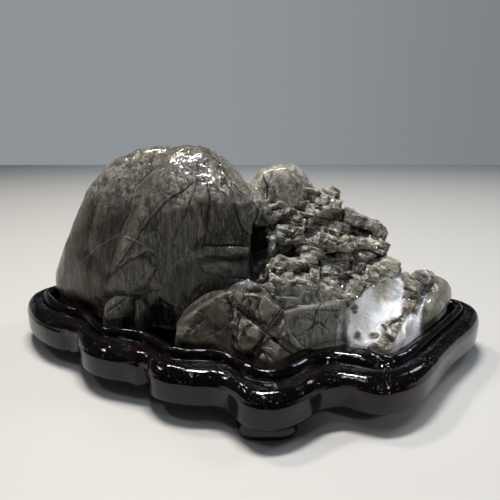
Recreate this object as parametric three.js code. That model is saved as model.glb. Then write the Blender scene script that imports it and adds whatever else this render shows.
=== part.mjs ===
// A dark mountain-shaped viewing stone with a white mineral patch, on a lacquered, lobed wooden stand.
// X runs along the stone, Y away from the viewer, Z up. Millimetres. The feet stand on Z = 0, and the
// finished group is moved so that the middle of its footprint is at the origin.
import * as THREE from "three";

// Heights of the stand, measured from the table.
const FOOT_HEIGHT = 7;
const WALL_HEIGHT = 8.6;
const SHOULDER_TOP = 13.5;
const GROOVE_HEIGHT = 12.3;
const COLLAR_TOP = 15.6;
const COLLAR_INNER_TOP = 14.2;
const POCKET_FLOOR = 9;

// Clear gap between touching pieces, so that no two bodies share space.
const GAP = 0.3;

// The flat underside of the stone, just clear of the pocket's floor.
const ROCK_BASE = FOOT_HEIGHT + POCKET_FLOOR + GAP;

// How far the foot of the stone stays inside the pocket's edge, and how fast it may spread above it.
const SEAT_CLEARANCE = 0.9;
const SEAT_SPREAD = 1.2;

// How finely the outlines are divided and the rock is sampled.
const STAND_STEP = 5;
const DENSE_POINTS = 700;
const ROCK_CELL = 2.1;
const ROCK_TRIANGLES = 6150;

// Plan of the foot of the stand's wall, one list of points for each lobe, counter-clockwise.
// Neighbouring lobes share their end point, and meet there in a sharp notch.
const STAND_LOBES = [
  [[-79.6, -12.6], [-76.2, -21.5], [-71, -29.8], [-65.6, -34.6], [-58, -38.2], [-50, -40.4],
    [-45.4, -42.6], [-42.2, -40.6]],
  [[-42.2, -40.6], [-40.2, -47.2], [-36.6, -51.6], [-30, -54.9], [-22, -56.7], [-13.5, -57.3],
    [-8, -61], [-2, -68.8], [5, -71.9], [12, -70.6], [20, -65.6], [27, -59.8], [35, -57.5],
    [41.7, -60.5], [48.2, -62.8], [56, -60.6], [64.8, -55], [70, -49.8], [86.9, -28.3],
    [105.4, -7.9], [110.6, 0.6], [112.6, 6.4], [110.2, 13.8], [104, 20.4], [96, 24.4]],
  [[96, 24.4], [94.4, 34], [86.4, 42.6], [74, 48], [62, 50.4], [50.4, 54]],
  [[50.4, 54], [44.6, 60.6], [34, 64.8], [20, 65.4], [6, 64.2], [-4, 61.2]],
  [[-4, 61.2], [-14, 66.6], [-27, 68.6], [-40, 67.4], [-50.6, 62.2]],
  [[-50.6, 62.2], [-60, 63.4], [-72, 60.4], [-81, 54], [-86.4, 46.4]],
  [[-86.4, 46.4], [-95, 46], [-105, 41.6], [-112.4, 33.2], [-115.6, 23.4], [-113.2, 14.3],
    [-106.4, 3.2], [-95.3, -7.8], [-87.4, -12.4], [-81.6, -14.6], [-79.6, -12.6]],
];

// Plan of the groove that runs between the rounded shoulder and the raised collar.
const GROOVE_LINE = [
  [-107.6, 23], [-100, 8.6], [-92.3, 2.4], [-85.6, -0.6], [-78.7, -5.4], [-71.6, -15.2],
  [-65.6, -21.2], [-59.5, -24], [-51.9, -25.4], [-44.2, -29.2], [-39.4, -34.2], [-33.7, -39.6],
  [-26.1, -42.4], [-17.2, -43], [-11, -45.2], [-5.6, -50.4], [-0.4, -55.8], [5, -58.4],
  [10.4, -58.2], [17.4, -54.4], [23.7, -48.6], [29.4, -45.6], [36.4, -45.4], [43.4, -48.2],
  [49.6, -50.2], [56.6, -48.6], [63.3, -44.2], [79.4, -26], [101, -0.6], [104.4, 5.4],
  [102.4, 12], [95.6, 16.6], [88.6, 21.4], [85, 30.4], [72, 37.6], [54, 42.4], [42, 50.4], [20, 53.6],
  [-4, 51.6],
  [-26, 56.4], [-48, 51.8], [-68, 49.4], [-84, 38], [-98, 34.4], [-105.4, 30.2],
];

// Plan of the seat pocket, close round the foot of the stone, wider where the stone stands back.
const SEAT_LINE = [
  [-103.6, 23.6], [-95.8, 11.6], [-90, 6.4], [-83.6, 3.2], [-75.4, -1.8], [-68.6, -12],
  [-63.6, -17], [-57.8, -19.4], [-50.6, -20.8], [-42.2, -24.6], [-36.2, -30.6], [-31.4, -35.6],
  [-25, -38.2], [-15.4, -38.6], [-8.6, -41.6], [-2.6, -47.6], [1.6, -51.8], [5.6, -54],
  [9.8, -53.6], [14.8, -50], [21, -42.8], [28, -37.4], [35, -35], [40.4, -35.8], [44.4, -40],
  [48.6, -44], [53.6, -44.6], [60, -40.4], [72.4, -27.8], [95.8, -1.2], [99.4, 5.2], [97, 10.4],
  [89, 14.6], [83, 20], [78, 27.6], [68, 31.8], [51, 36.8], [38, 44], [18, 47.4], [-4, 45.8],
  [-26, 49.6],
  [-46, 45.4], [-64, 42.8], [-80, 33.4], [-94, 30.6], [-101.2, 28],
];

// Middle of the plan, from which every outline of the stand is crossed once by each direction.
const PLAN_CENTRE = [2, -4];

function angleAt(x, y) {
  return Math.atan2(y - PLAN_CENTRE[1], x - PLAN_CENTRE[0]);
}

function curveThrough(points, closed) {
  const corners = points.map(([x, y]) => new THREE.Vector3(x, y, 0));
  return new THREE.CatmullRomCurve3(corners, closed, "centripetal");
}

// Points along the stand's foot, equally spaced within each lobe, each notch used once.
function standOutline() {
  const outline = [];
  for (const lobe of STAND_LOBES) {
    const curve = curveThrough(lobe, false);
    const steps = Math.round(curve.getLength() / STAND_STEP);
    const points = curve.getSpacedPoints(steps);
    points.pop();
    outline.push(...points);
  }
  return outline;
}

// Distance of a closed plan line from the plan's middle, as a function of direction.
function reachOf(points) {
  const spots = points
    .map((p) => [angleAt(p.x, p.y), Math.hypot(p.x - PLAN_CENTRE[0], p.y - PLAN_CENTRE[1])])
    .sort((a, b) => a[0] - b[0]);
  const first = spots[0];
  const last = spots[spots.length - 1];
  spots.unshift([last[0] - 2 * Math.PI, last[1]]);
  spots.push([first[0] + 2 * Math.PI, first[1]]);
  return (angle) => {
    let low = 0;
    let high = spots.length - 1;
    while (high - low > 1) {
      const middle = (low + high) >> 1;
      if (spots[middle][0] <= angle) low = middle;
      else high = middle;
    }
    const [a0, r0] = spots[low];
    const [a1, r1] = spots[high];
    return r0 + ((r1 - r0) * (angle - a0)) / (a1 - a0);
  };
}

const grooveReach = reachOf(curveThrough(GROOVE_LINE, true).getSpacedPoints(DENSE_POINTS).slice(1));
const seatReach = reachOf(curveThrough(SEAT_LINE, true).getSpacedPoints(DENSE_POINTS).slice(1));

// Half of the angle, in radians, over which a notch is eased away.
const NOTCH_EASING = 0.07;

// The wall's reach with its notches eased away, as the rounded shoulder above it has them.
function easedReach(reach, halfWidth) {
  const samples = 9;
  return (angle) => {
    let sum = 0;
    for (let i = -samples; i <= samples; i++) {
      let turned = angle + (i / samples) * halfWidth;
      if (turned > Math.PI) turned -= 2 * Math.PI;
      if (turned < -Math.PI) turned += 2 * Math.PI;
      sum += reach(turned);
    }
    return sum / (2 * samples + 1);
  };
}

// A solid of stacked rings that all have the same number of points, closed by a fan at each end.
function ringSolid(rings, bottom, top) {
  const count = rings[0].length;
  const positions = [];
  const faces = [];
  rings.forEach((ring) => ring.forEach((p) => positions.push(...p)));
  for (let r = 0; r + 1 < rings.length; r++) {
    for (let i = 0; i < count; i++) {
      const a = r * count + i;
      const b = r * count + ((i + 1) % count);
      faces.push(a, b, b + count, a, b + count, a + count);
    }
  }
  const low = positions.length / 3;
  positions.push(...bottom);
  const high = low + 1;
  positions.push(...top);
  const start = (rings.length - 1) * count;
  for (let i = 0; i < count; i++) {
    const next = (i + 1) % count;
    faces.push(low, next, i);
    faces.push(high, start + i, start + next);
  }
  return indexedGeometry(positions, faces);
}

function indexedGeometry(positions, faces) {
  const geometry = new THREE.BufferGeometry();
  geometry.setAttribute("position", new THREE.Float32BufferAttribute(positions, 3));
  geometry.setIndex(faces);
  geometry.computeVertexNormals();
  return geometry;
}

// The stand: wall, rounded shoulder, groove, raised collar, and the pocket that the stone sits in.
function standBody() {
  const outline = standOutline();
  const directions = outline.map((p) => angleAt(p.x, p.y)).sort((a, b) => a - b);
  const wallReach = reachOf(outline);
  const softReach = easedReach(wallReach, NOTCH_EASING);
  const ringAt = (reach, height) =>
    directions.map((angle) => {
      const r = reach(angle);
      return [
        PLAN_CENTRE[0] + r * Math.cos(angle),
        PLAN_CENTRE[1] + r * Math.sin(angle),
        FOOT_HEIGHT + height,
      ];
    });
  const mix = (inner, outer, share) => (angle) => outer(angle) + (inner(angle) - outer(angle)) * share;

  // Share of the way in from the wall to the groove, softness of the notches, and height.
  const outside = [
    [0.02, 0, 0],
    [0, 0.4, WALL_HEIGHT * 0.5],
    [0.01, 0.8, WALL_HEIGHT],
    [0.12, 1, WALL_HEIGHT + 2.6],
    [0.34, 1, SHOULDER_TOP - 0.4],
    [0.62, 1, SHOULDER_TOP],
    [0.91, 1, SHOULDER_TOP - 0.3],
    [1, 1, GROOVE_HEIGHT],
  ];
  const rings = outside.map(([share, softness, height]) =>
    ringAt(mix(grooveReach, mix(softReach, wallReach, softness), share), height),
  );

  // Share of the way in from the groove to the pocket's edge, and height.
  const collar = [
    [0.14, GROOVE_HEIGHT + 1.9],
    [0.45, COLLAR_TOP],
    [0.8, COLLAR_TOP - 0.2],
    [1, COLLAR_INNER_TOP],
  ];
  collar.forEach(([share, height]) => rings.push(ringAt(mix(seatReach, grooveReach, share), height)));
  const pocketDraft = 0.5;
  rings.push(ringAt((angle) => seatReach(angle) - pocketDraft, POCKET_FLOOR));

  const middle = (height) => [...PLAN_CENTRE, FOOT_HEIGHT + height];
  return ringSolid(rings, middle(0), middle(POCKET_FLOOR));
}

// One low foot pad, an oval with flattened sides: it bulges near its foot and has a flat sole.
function footPad(x, y, turn, halfLength, halfWidth) {
  const points = 18;
  const flattening = 0.75;
  const profile = [
    [0.86, 0],
    [0.99, 1.8],
    [0.91, 4.4],
    [0.95, FOOT_HEIGHT - GAP],
  ];
  const rings = profile.map(([share, height]) => {
    const ring = [];
    for (let i = 0; i < points; i++) {
      const angle = (i / points) * 2 * Math.PI;
      const c = Math.cos(angle);
      const s = Math.sin(angle);
      const along = share * halfLength * Math.sign(c) * Math.abs(c) ** flattening;
      const across = share * halfWidth * Math.sign(s) * Math.abs(s) ** flattening;
      ring.push([
        x + along * Math.cos(turn) - across * Math.sin(turn),
        y + along * Math.sin(turn) + across * Math.cos(turn),
        height,
      ]);
    }
    return ring;
  });
  return ringSolid(rings, [x, y, 0], [x, y, FOOT_HEIGHT - GAP]);
}

// Feet: name, place in plan, turn in radians, half length and half width.
const FEET = [
  ["foot_front", 6.5, -61, 0, 11.5, 7.5],
  ["foot_left", -95, 14, 2.3, 10, 6.5],
  ["foot_right", 93, 2, 0.95, 10, 6.5],
  ["foot_back_left", -62, 52, 3.3, 11, 6.5],
  ["foot_back_right", 58, 43, -0.15, 11, 6.5],
];

// A repeatable number from 0 to 1 for each whole-numbered cell of space.
function cellChance(i, j, k) {
  const mixed = Math.sin(i * 127.1 + j * 311.7 + k * 74.7) * 43758.5453;
  return mixed - Math.floor(mixed);
}

// Smooth waves of chance through space, from -1 to 1, that change over about one unit.
function rockWave(x, y, z) {
  const i = Math.floor(x);
  const j = Math.floor(y);
  const k = Math.floor(z);
  const ease = (t) => t * t * (3 - 2 * t);
  const u = ease(x - i);
  const v = ease(y - j);
  const w = ease(z - k);
  let sum = 0;
  for (let n = 0; n < 8; n++) {
    const a = n & 1;
    const b = (n >> 1) & 1;
    const c = n >> 2;
    const weight = (a ? u : 1 - u) * (b ? v : 1 - v) * (c ? w : 1 - w);
    sum += weight * cellChance(i + a, j + b, k + c);
  }
  return 2 * sum - 1;
}

function smoothMax(a, b, width) {
  const h = Math.max(width - Math.abs(a - b), 0) / width;
  return Math.max(a, b) + (h * h * width) / 4;
}

function smoothMin(a, b, width) {
  return -smoothMax(-a, -b, width);
}

// Distance of a point from a closed outline, negative inside.
function outlineDistance(outline, x, z) {
  let nearestSquare = Infinity;
  let inside = false;
  for (let i = 0, j = outline.length - 1; i < outline.length; j = i++) {
    const [ax, az] = outline[i];
    const [bx, bz] = outline[j];
    const ex = bx - ax;
    const ez = bz - az;
    const share = ((x - ax) * ex + (z - az) * ez) / (ex * ex + ez * ez);
    const t = Math.min(Math.max(share, 0), 1);
    const dx = x - ax - ex * t;
    const dz = z - az - ez * t;
    nearestSquare = Math.min(nearestSquare, dx * dx + dz * dz);
    if (az > z !== bz > z && x < ax + ((z - az) * ex) / ez) inside = !inside;
  }
  return Math.sqrt(nearestSquare) * (inside ? -1 : 1);
}

// A leaning face of the rock. It passes through [x, y, z]; turn and lean say how much further away
// it lies for each millimetre to the right and up.
function faceDistance(face, x, y, z) {
  const surface = face.at[1] + face.turn * (x - face.at[0]) + face.lean * (z - face.at[2]);
  return (surface - y) / Math.sqrt(1 + face.turn * face.turn + face.lean * face.lean);
}

// A mass of rock: an outline seen from the front, cut by faces at the front and at the back.
function rockMass({ outline, fronts, backs, rounding }) {
  return (x, y, z) => {
    let d = outlineDistance(outline, x, z);
    for (const face of fronts) d = smoothMax(d, faceDistance(face, x, y, z), rounding);
    for (const face of backs) d = smoothMax(d, -faceDistance(face, x, y, z), rounding);
    return d;
  };
}

// A lump between two points, as thick as twice its radius.
function lumpBetween(a, b, radius) {
  const ex = b[0] - a[0];
  const ey = b[1] - a[1];
  const ez = b[2] - a[2];
  const long = ex * ex + ey * ey + ez * ez;
  return (x, y, z) => {
    const share = long ? ((x - a[0]) * ex + (y - a[1]) * ey + (z - a[2]) * ez) / long : 0;
    const t = Math.min(Math.max(share, 0), 1);
    const dx = x - a[0] - ex * t;
    const dy = y - a[1] - ey * t;
    const dz = z - a[2] - ez * t;
    return Math.sqrt(dx * dx + dy * dy + dz * dz) - radius;
  };
}

// A flat ledge between two points, a little over half as thick as it is deep.
function ledgeBetween(a, b, radius) {
  const thin = 1.8;
  const steepness = 1.3;
  const lump = lumpBetween([a[0], a[1], a[2] * thin], [b[0], b[1], b[2] * thin], radius);
  return (x, y, z) => lump(x, y, z * thin) / steepness;
}

// Broken strata: blocks of rock in tilted, wavy layers. Each stands out or is set back by its own
// chance, the top of a layer overhangs its foot by the step, and seams open between the blocks.
function brokenLayers(mass, { dip, layer, block, relief, step, skew }) {
  return (x, y, z) => {
    const whole = mass(x, y, z);
    if (Math.abs(whole) > relief + step + 2 * ROCK_CELL) return whole;
    const bent = 1.6 * rockWave(x / 17, y / 17, z / 17) + 1.7 * rockWave(x / 8 + 40, y / 8, z / 14);
    const level = (z + dip * x + bent) / layer;
    const row = Math.floor(level);
    const along = (x - skew * y) / block + 3.7 * cellChance(row, 5, 9);
    const column = Math.floor(along);
    const across = Math.floor((y + 0.4 * x) / (1.2 * block) + 2.1 * cellChance(row, 2, 3));
    const edge = Math.min(level - row, 1 + row - level) * layer;
    const joint = Math.min(along - column, 1 + column - along) * block;
    const seam = Math.max(0, 0.9 - edge) * 0.8 + Math.max(0, 0.8 - joint) * 0.5;
    const ledge = step * (level - row - 0.5);
    return whole - relief * (cellChance(row, column, across) - 0.5) - ledge + seam;
  };
}

// The tall dome: a smooth shoulder lobe at the back left and a slab-like lobe in front of it.
const domeShoulder = rockMass({
  outline: [
    [-105.5, 0], [-105, 24], [-100.2, 36], [-94.2, 48], [-88, 59], [-81.6, 71], [-76, 79],
    [-70.2, 86], [-62.4, 92.4], [-52.4, 97.2], [-42, 99.2], [-34, 97], [-24, 90], [-16, 78], [-12, 0],
  ],
  fronts: [
    { at: [-60, -3, 16], turn: 0, lean: 0.1 },
    { at: [-90, 6, 16], turn: -0.95, lean: 0.16 },
    { at: [-60, 3, 78], turn: 0, lean: 0.8 },
  ],
  backs: [
    { at: [-60, 44, 16], turn: 0.08, lean: -0.06 },
    { at: [-60, 41, 66], turn: -0.05, lean: -0.28 },
  ],
  rounding: 12,
});
const domeFront = rockMass({
  outline: [
    [-68.4, 0], [-68, 22], [-64, 39], [-58, 56], [-52.6, 66], [-46.6, 79], [-40.6, 90],
    [-36, 94.6], [-31, 98], [-22.5, 98], [-16, 94.6], [-9.6, 88.6], [-4.8, 82.4], [-1, 76],
    [1.2, 59], [1.6, 36], [2, 0],
  ],
  fronts: [
    { at: [-27, -14, 50], turn: -0.16, lean: 0.03 },
    { at: [-27, -14, 50], turn: 0.1, lean: 0.02 },
    { at: [-34, -11, 80], turn: -0.5, lean: 1 },
    { at: [-14, -11, 80], turn: 0.4, lean: 1.2 },
  ],
  backs: [
    { at: [-30, 45, 30], turn: 0.05, lean: -0.1 },
    { at: [-30, 40, 70], turn: 0.1, lean: -0.5 },
  ],
  rounding: 10,
});

// The lower knob that joins the dome to the second peak.
const saddleKnob = rockMass({
  outline: [[-10, 0], [-10, 81], [-4, 80], [7.4, 73], [9, 67], [7.4, 60], [5, 50], [2, 0]],
  fronts: [{ at: [0, -8.6, 60], turn: 0.35, lean: 0.25 }],
  backs: [{ at: [0, 30, 60], turn: 0, lean: -0.2 }],
  rounding: 4,
});

// The second peak, behind the saddle.
const secondPeak = rockMass({
  outline: [[2, 0], [-3, 66], [-2, 74.6], [5, 84.6], [14.6, 89], [20, 88.4], [25.4, 85], [29.4, 79],
    [31.4, 70], [32, 60], [34, 0]],
  fronts: [
    { at: [12, 4, 66], turn: -0.35, lean: 0.3 },
    { at: [12, 4, 66], turn: 0.3, lean: 0.3 },
  ],
  backs: [{ at: [14, 42, 50], turn: 0, lean: -0.3 }],
  rounding: 8,
});

// Ledges and knobs that stand out of the craggy slope.
const CRAG_LEDGES = [
  ledgeBetween([46, 17, 63.6], [58.4, 12, 57], 5.6),
  ledgeBetween([44, 3, 53.4], [57, 4, 51.4], 6.8),
  ledgeBetween([50, -10, 42.4], [62.4, -3.4, 43.8], 4.8),
  ledgeBetween([37, -9, 48.2], [53, 0, 48.6], 4.8),
  ledgeBetween([34.6, 3, 58.4], [46, 8, 60.6], 5.4),
  lumpBetween([9.6, -11, 58.6], [18, -9, 60], 5.4),
  lumpBetween([26, 5, 64.6], [38, 13, 66.6], 5.2),
  ledgeBetween([8, -24, 51], [22, -18, 51.6], 5),
  ledgeBetween([22.6, -13, 54], [30, -11, 52], 4.4),
  lumpBetween([9, -1, 67.6], [14.6, 3, 69], 3.8),
  ledgeBetween([30.4, -8, 57], [43, -4, 52.6], 4.6),
  lumpBetween([40.6, -25.4, 38.2], [51, -12.6, 42], 3.4),
  lumpBetween([33, 20, 72], [39, 21, 70.4], 5),
];

// The craggy slope of broken layers that falls away to the right.
const cragSlope = rockMass({
  outline: [[4, 36], [6, 50], [9.4, 60], [11, 69], [22, 71], [30, 75.4], [34, 76.4], [40, 72],
    [43, 66], [49, 63], [54, 61.6], [60.4, 58], [64.4, 53], [65.4, 47], [67.4, 42.4], [61, 40.4],
    [52, 36.4], [44, 31], [36, 36], [20, 38]],
  fronts: [{ at: [20, -24.6, 45], turn: 0.56, lean: 1.45 }],
  backs: [{ at: [30, 38, 45], turn: -0.1, lean: -0.5 }],
  rounding: 3,
});
const crag = brokenLayers(
  (x, y, z) => {
    let d = cragSlope(x, y, z);
    if (d > 4 * ROCK_CELL) return d;
    for (const ledge of CRAG_LEDGES) d = smoothMin(d, ledge(x, y, z), 1.6);
    return d;
  },
  { dip: 0.36, layer: 6.2, block: 15, relief: 2.6, step: 2, skew: 0.9 },
);

// The low front block: a smooth left wedge and a buttress that comes forward in a prow.
const frontWedge = rockMass({
  outline: [[-30.6, 0], [-30.4, 24], [-28.6, 31.4], [-20.4, 38], [-12, 44], [-6, 48.4], [2, 50],
    [10, 44], [12, 0]],
  fronts: [
    { at: [-28.5, -38.4, 21], turn: -0.46, lean: 0.44 },
    { at: [-20, -39.4, 21], turn: 0, lean: 0.38 },
  ],
  backs: [{ at: [-14, -22, 21], turn: -0.1, lean: 0 }],
  rounding: 3,
});
const buttress = brokenLayers(
  rockMass({
    outline: [[-7.4, 0], [-6, 38], [-3, 46.6], [5, 50.2], [20, 49.6], [31, 50.4], [37.6, 46],
      [40.4, 38], [42, 30], [42.6, 0]],
    fronts: [
      { at: [5, -54.4, 21], turn: -0.62, lean: 0.46 },
      { at: [7, -55, 21], turn: 0.1, lean: 0.4 },
      { at: [9, -54.4, 21], turn: 0.6, lean: 0.48 },
    ],
    backs: [{ at: [10, 8, 21], turn: 0, lean: -0.2 }],
    rounding: 4,
  }),
  { dip: -0.6, layer: 13, block: 14, relief: 2, step: 0, skew: 0.2 },
);

// The white mineral mass that fills the slope at the right end.
const whiteMass = rockMass({
  outline: [[36, 0], [38, 34], [45, 40], [53, 44], [59, 46], [64.6, 44.6], [69, 39.4], [78, 34],
    [91, 20], [92, 0]],
  fronts: [
    { at: [45, -37, 20], turn: 0.3, lean: 1.25 },
    { at: [62, -37, 21], turn: 1.05, lean: 0.4 },
  ],
  backs: [{ at: [60, 30, 20], turn: -0.2, lean: -0.6 }],
  rounding: 7,
});

// The brown rib that runs down between the white mass and the end lump, in broken chunks.
const RIB_CHUNKS = [
  lumpBetween([75.6, -4, 35.6], [82.4, 0, 36.8], 4.4),
  lumpBetween([73, -8, 31], [78.4, -2, 33], 4.4),
  lumpBetween([66, -20, 27.5], [72, -11, 30.5], 3.6),
  lumpBetween([58, -31, 24], [66, -21, 27], 4.6),
  lumpBetween([50, -39.5, 20], [60, -33, 22], 4.8),
];
const brownRib = brokenLayers(
  (x, y, z) => {
    let d = Infinity;
    for (const part of RIB_CHUNKS) d = smoothMin(d, part(x, y, z), 2);
    return d;
  },
  { dip: -0.5, layer: 4.8, block: 7, relief: 2.2, step: 0.8, skew: 0.3 },
);

// The rounded grey lump at the right end.
const endLump = rockMass({
  outline: [[72, 0], [75, 22], [79, 31], [84, 36], [90, 37], [94.6, 34.8], [97.8, 30], [99, 20],
    [99.4, 0]],
  fronts: [{ at: [76, -25.4, 21], turn: 1.16, lean: 0.2 }],
  backs: [{ at: [86, 19, 21], turn: -0.2, lean: -0.5 }],
  rounding: 6,
});

// The hillside behind, that closes the stone at its back.
const backSlope = brokenLayers(
  rockMass({
    outline: [[-84, 0], [-80, 26], [-64, 42], [-40, 50], [-18, 62], [4, 68], [28, 62],
      [46, 50], [60, 38], [78, 24], [88, 10], [88, 0]],
    fronts: [{ at: [0, 6, 20], turn: 0, lean: 0.1 }],
    backs: [
      { at: [-20, 52, 16], turn: -0.05, lean: -0.24 },
      { at: [60, 34, 16], turn: -0.42, lean: -0.4 },
    ],
    rounding: 7,
  }),
  { dip: 0.25, layer: 13, block: 24, relief: 2.4, step: 1.4, skew: 0.4 },
);

// Small lumps at the foot of the dome, and the raised bar across its right flank.
const DOME_LUMPS = [
  lumpBetween([-62.6, -5, 12], [-59.4, -6.5, 23], 4.6),
  lumpBetween([-52, -9, 12], [-51.4, -9, 26], 4.8),
  lumpBetween([-20.5, -10.4, 53.6], [-3, -9.6, 52.6], 3.4),
];

// Hollows: beside the lumps, above and below the bar, the pit, the crevice between the dome and the
// crag, and the recesses under the crag's ledges.
const HOLLOWS = [
  lumpBetween([-45.4, -15, 18], [-44.8, -14.6, 25], 4.4),
  lumpBetween([-21, -16.6, 59.4], [-2, -16, 59], 3.6),
  lumpBetween([-20, -18.8, 45.2], [1, -18.4, 44.2], 6.4),
  lumpBetween([-45.8, -6.6, 74.4], [-45.4, -6, 74], 3),
  lumpBetween([3.4, -4, 58], [5, -22, 44], 4.6),
  lumpBetween([2.6, -14, 60], [5.6, -27, 43.6], 4),
  lumpBetween([49, 9, 60.2], [61, 4, 53.8], 1.8),
  lumpBetween([46, -10.4, 46.6], [58.6, -5, 46.4], 1.7),
  lumpBetween([13.6, -16.6, 54.6], [17, -15, 54], 3),
  lumpBetween([30.4, -15, 50.4], [29.8, -28, 44.6], 2.6),
];

// Cracks, each a shallow groove along the listed points, which lie on the rock's face.
const CRACK_RADIUS = 2.6;
const CRACK_DEPTH = 1.3;
const CRACKS = [
  [[-23.7, -5.8, 83.7], [-32.2, -8.8, 78.6], [-38.3, -9.8, 73.5], [-44.8, -9.2, 66.3],
    [-49.6, -9.3, 59.5], [-55.1, -9, 51.6], [-65.1, -1.4, 40.3]],
  [[-56, -6.6, 58], [-49.6, -9.8, 57.8], [-42.6, -11.2, 54.5]],
  [[-44.8, -11, 54], [-54.2, -9.6, 49], [-66.2, -1, 39.6]],
  [[-68.4, -1.4, 28.8], [-55.8, -9.8, 33.7]],
  [[-51.6, -10.2, 33.4], [-41.2, -11.7, 36.9]],
  [[-17.5, -9.6, 78.7], [-19.1, -11.9, 61.2]],
  [[-6.9, -8.8, 75.9], [-2.6, -11.2, 61.8]],
  [[-6.9, -33.8, 40.8], [4.6, -48.2, 34.5], [13, -51.4, 29], [19.3, -49.7, 22.6]],
  [[12.8, -43.2, 40.6], [4.6, -50.2, 29.3], [-1.2, -47, 21]],
  [[24, -44.6, 38], [30, -39.8, 30], [37, -36, 27]],
  [[9.3, 12.8, 84.2], [6.7, -1.9, 73.1]],
  [[-71.6, 7, 73.5], [-77, 3.6, 55.2], [-75.8, 0.2, 31.6]],
];
const CRACK_PARTS = CRACKS.flatMap((points) => {
  const raised = points.map(([x, y, z]) => [x, y - CRACK_RADIUS + CRACK_DEPTH, z]);
  return raised.slice(1).map((point, i) => lumpBetween(raised[i], point, CRACK_RADIUS));
});

// The whole stone as one field: negative inside the rock, and flat where it rests in the pocket.
function stoneField(x, y, z) {
  let d = smoothMin(domeShoulder(x, y, z), domeFront(x, y, z), 4);
  for (const part of DOME_LUMPS) d = smoothMin(d, part(x, y, z), 2);
  d = smoothMin(d, saddleKnob(x, y, z), 2);
  d = smoothMin(d, secondPeak(x, y, z), 2);
  d = smoothMin(d, backSlope(x, y, z), 4);
  d = smoothMin(d, crag(x, y, z), 1.5);
  d = smoothMin(d, frontWedge(x, y, z), 1.5);
  d = smoothMin(d, buttress(x, y, z), 1.5);
  d = smoothMin(d, whiteMass(x, y, z), 1.5);
  d = smoothMin(d, brownRib(x, y, z), 1);
  d = smoothMin(d, endLump(x, y, z), 1.5);
  for (const part of HOLLOWS) d = smoothMax(d, -part(x, y, z), 2);
  for (const part of CRACK_PARTS) d = Math.max(d, -part(x, y, z));
  if (Math.abs(d) < 2 * ROCK_CELL) {
    d += 0.8 * rockWave(x / 13, y / 13, z / 13) + 0.4 * rockWave(x / 6 + 20, y / 6, z / 6);
  }
  return Math.max(smoothMax(d, seatLimit(x, y, z), 1.5), ROCK_BASE - z);
}

// Keeps the foot of the stone inside the pocket; above the collar the rock may spread again.
function seatLimit(x, y, z) {
  const r = Math.hypot(x - PLAN_CENTRE[0], y - PLAN_CENTRE[1]);
  const above = Math.max(0, z - FOOT_HEIGHT - COLLAR_INNER_TOP - 1);
  return 0.8 * (r - tightSeat(angleAt(x, y)) + SEAT_CLEARANCE) - SEAT_SPREAD * above;
}

// The pocket's reach, taken at its least within one division of the stand to either side.
function tightSeat(angle) {
  const turn = 0.045;
  const before = angle - turn < -Math.PI ? angle - turn + 2 * Math.PI : angle - turn;
  const after = angle + turn > Math.PI ? angle + turn - 2 * Math.PI : angle + turn;
  return Math.min(seatReach(before), seatReach(angle), seatReach(after));
}

// Each small cube of space is split into these six pieces with four corners, so that the surface
// taken through them is always closed. Corner numbers: 1 is one step in x, 2 in y, 4 in z.
const CUBE_PIECES = [
  [0, 1, 3, 7],
  [0, 3, 2, 7],
  [0, 2, 6, 7],
  [0, 6, 4, 7],
  [0, 4, 5, 7],
  [0, 5, 1, 7],
];

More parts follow.
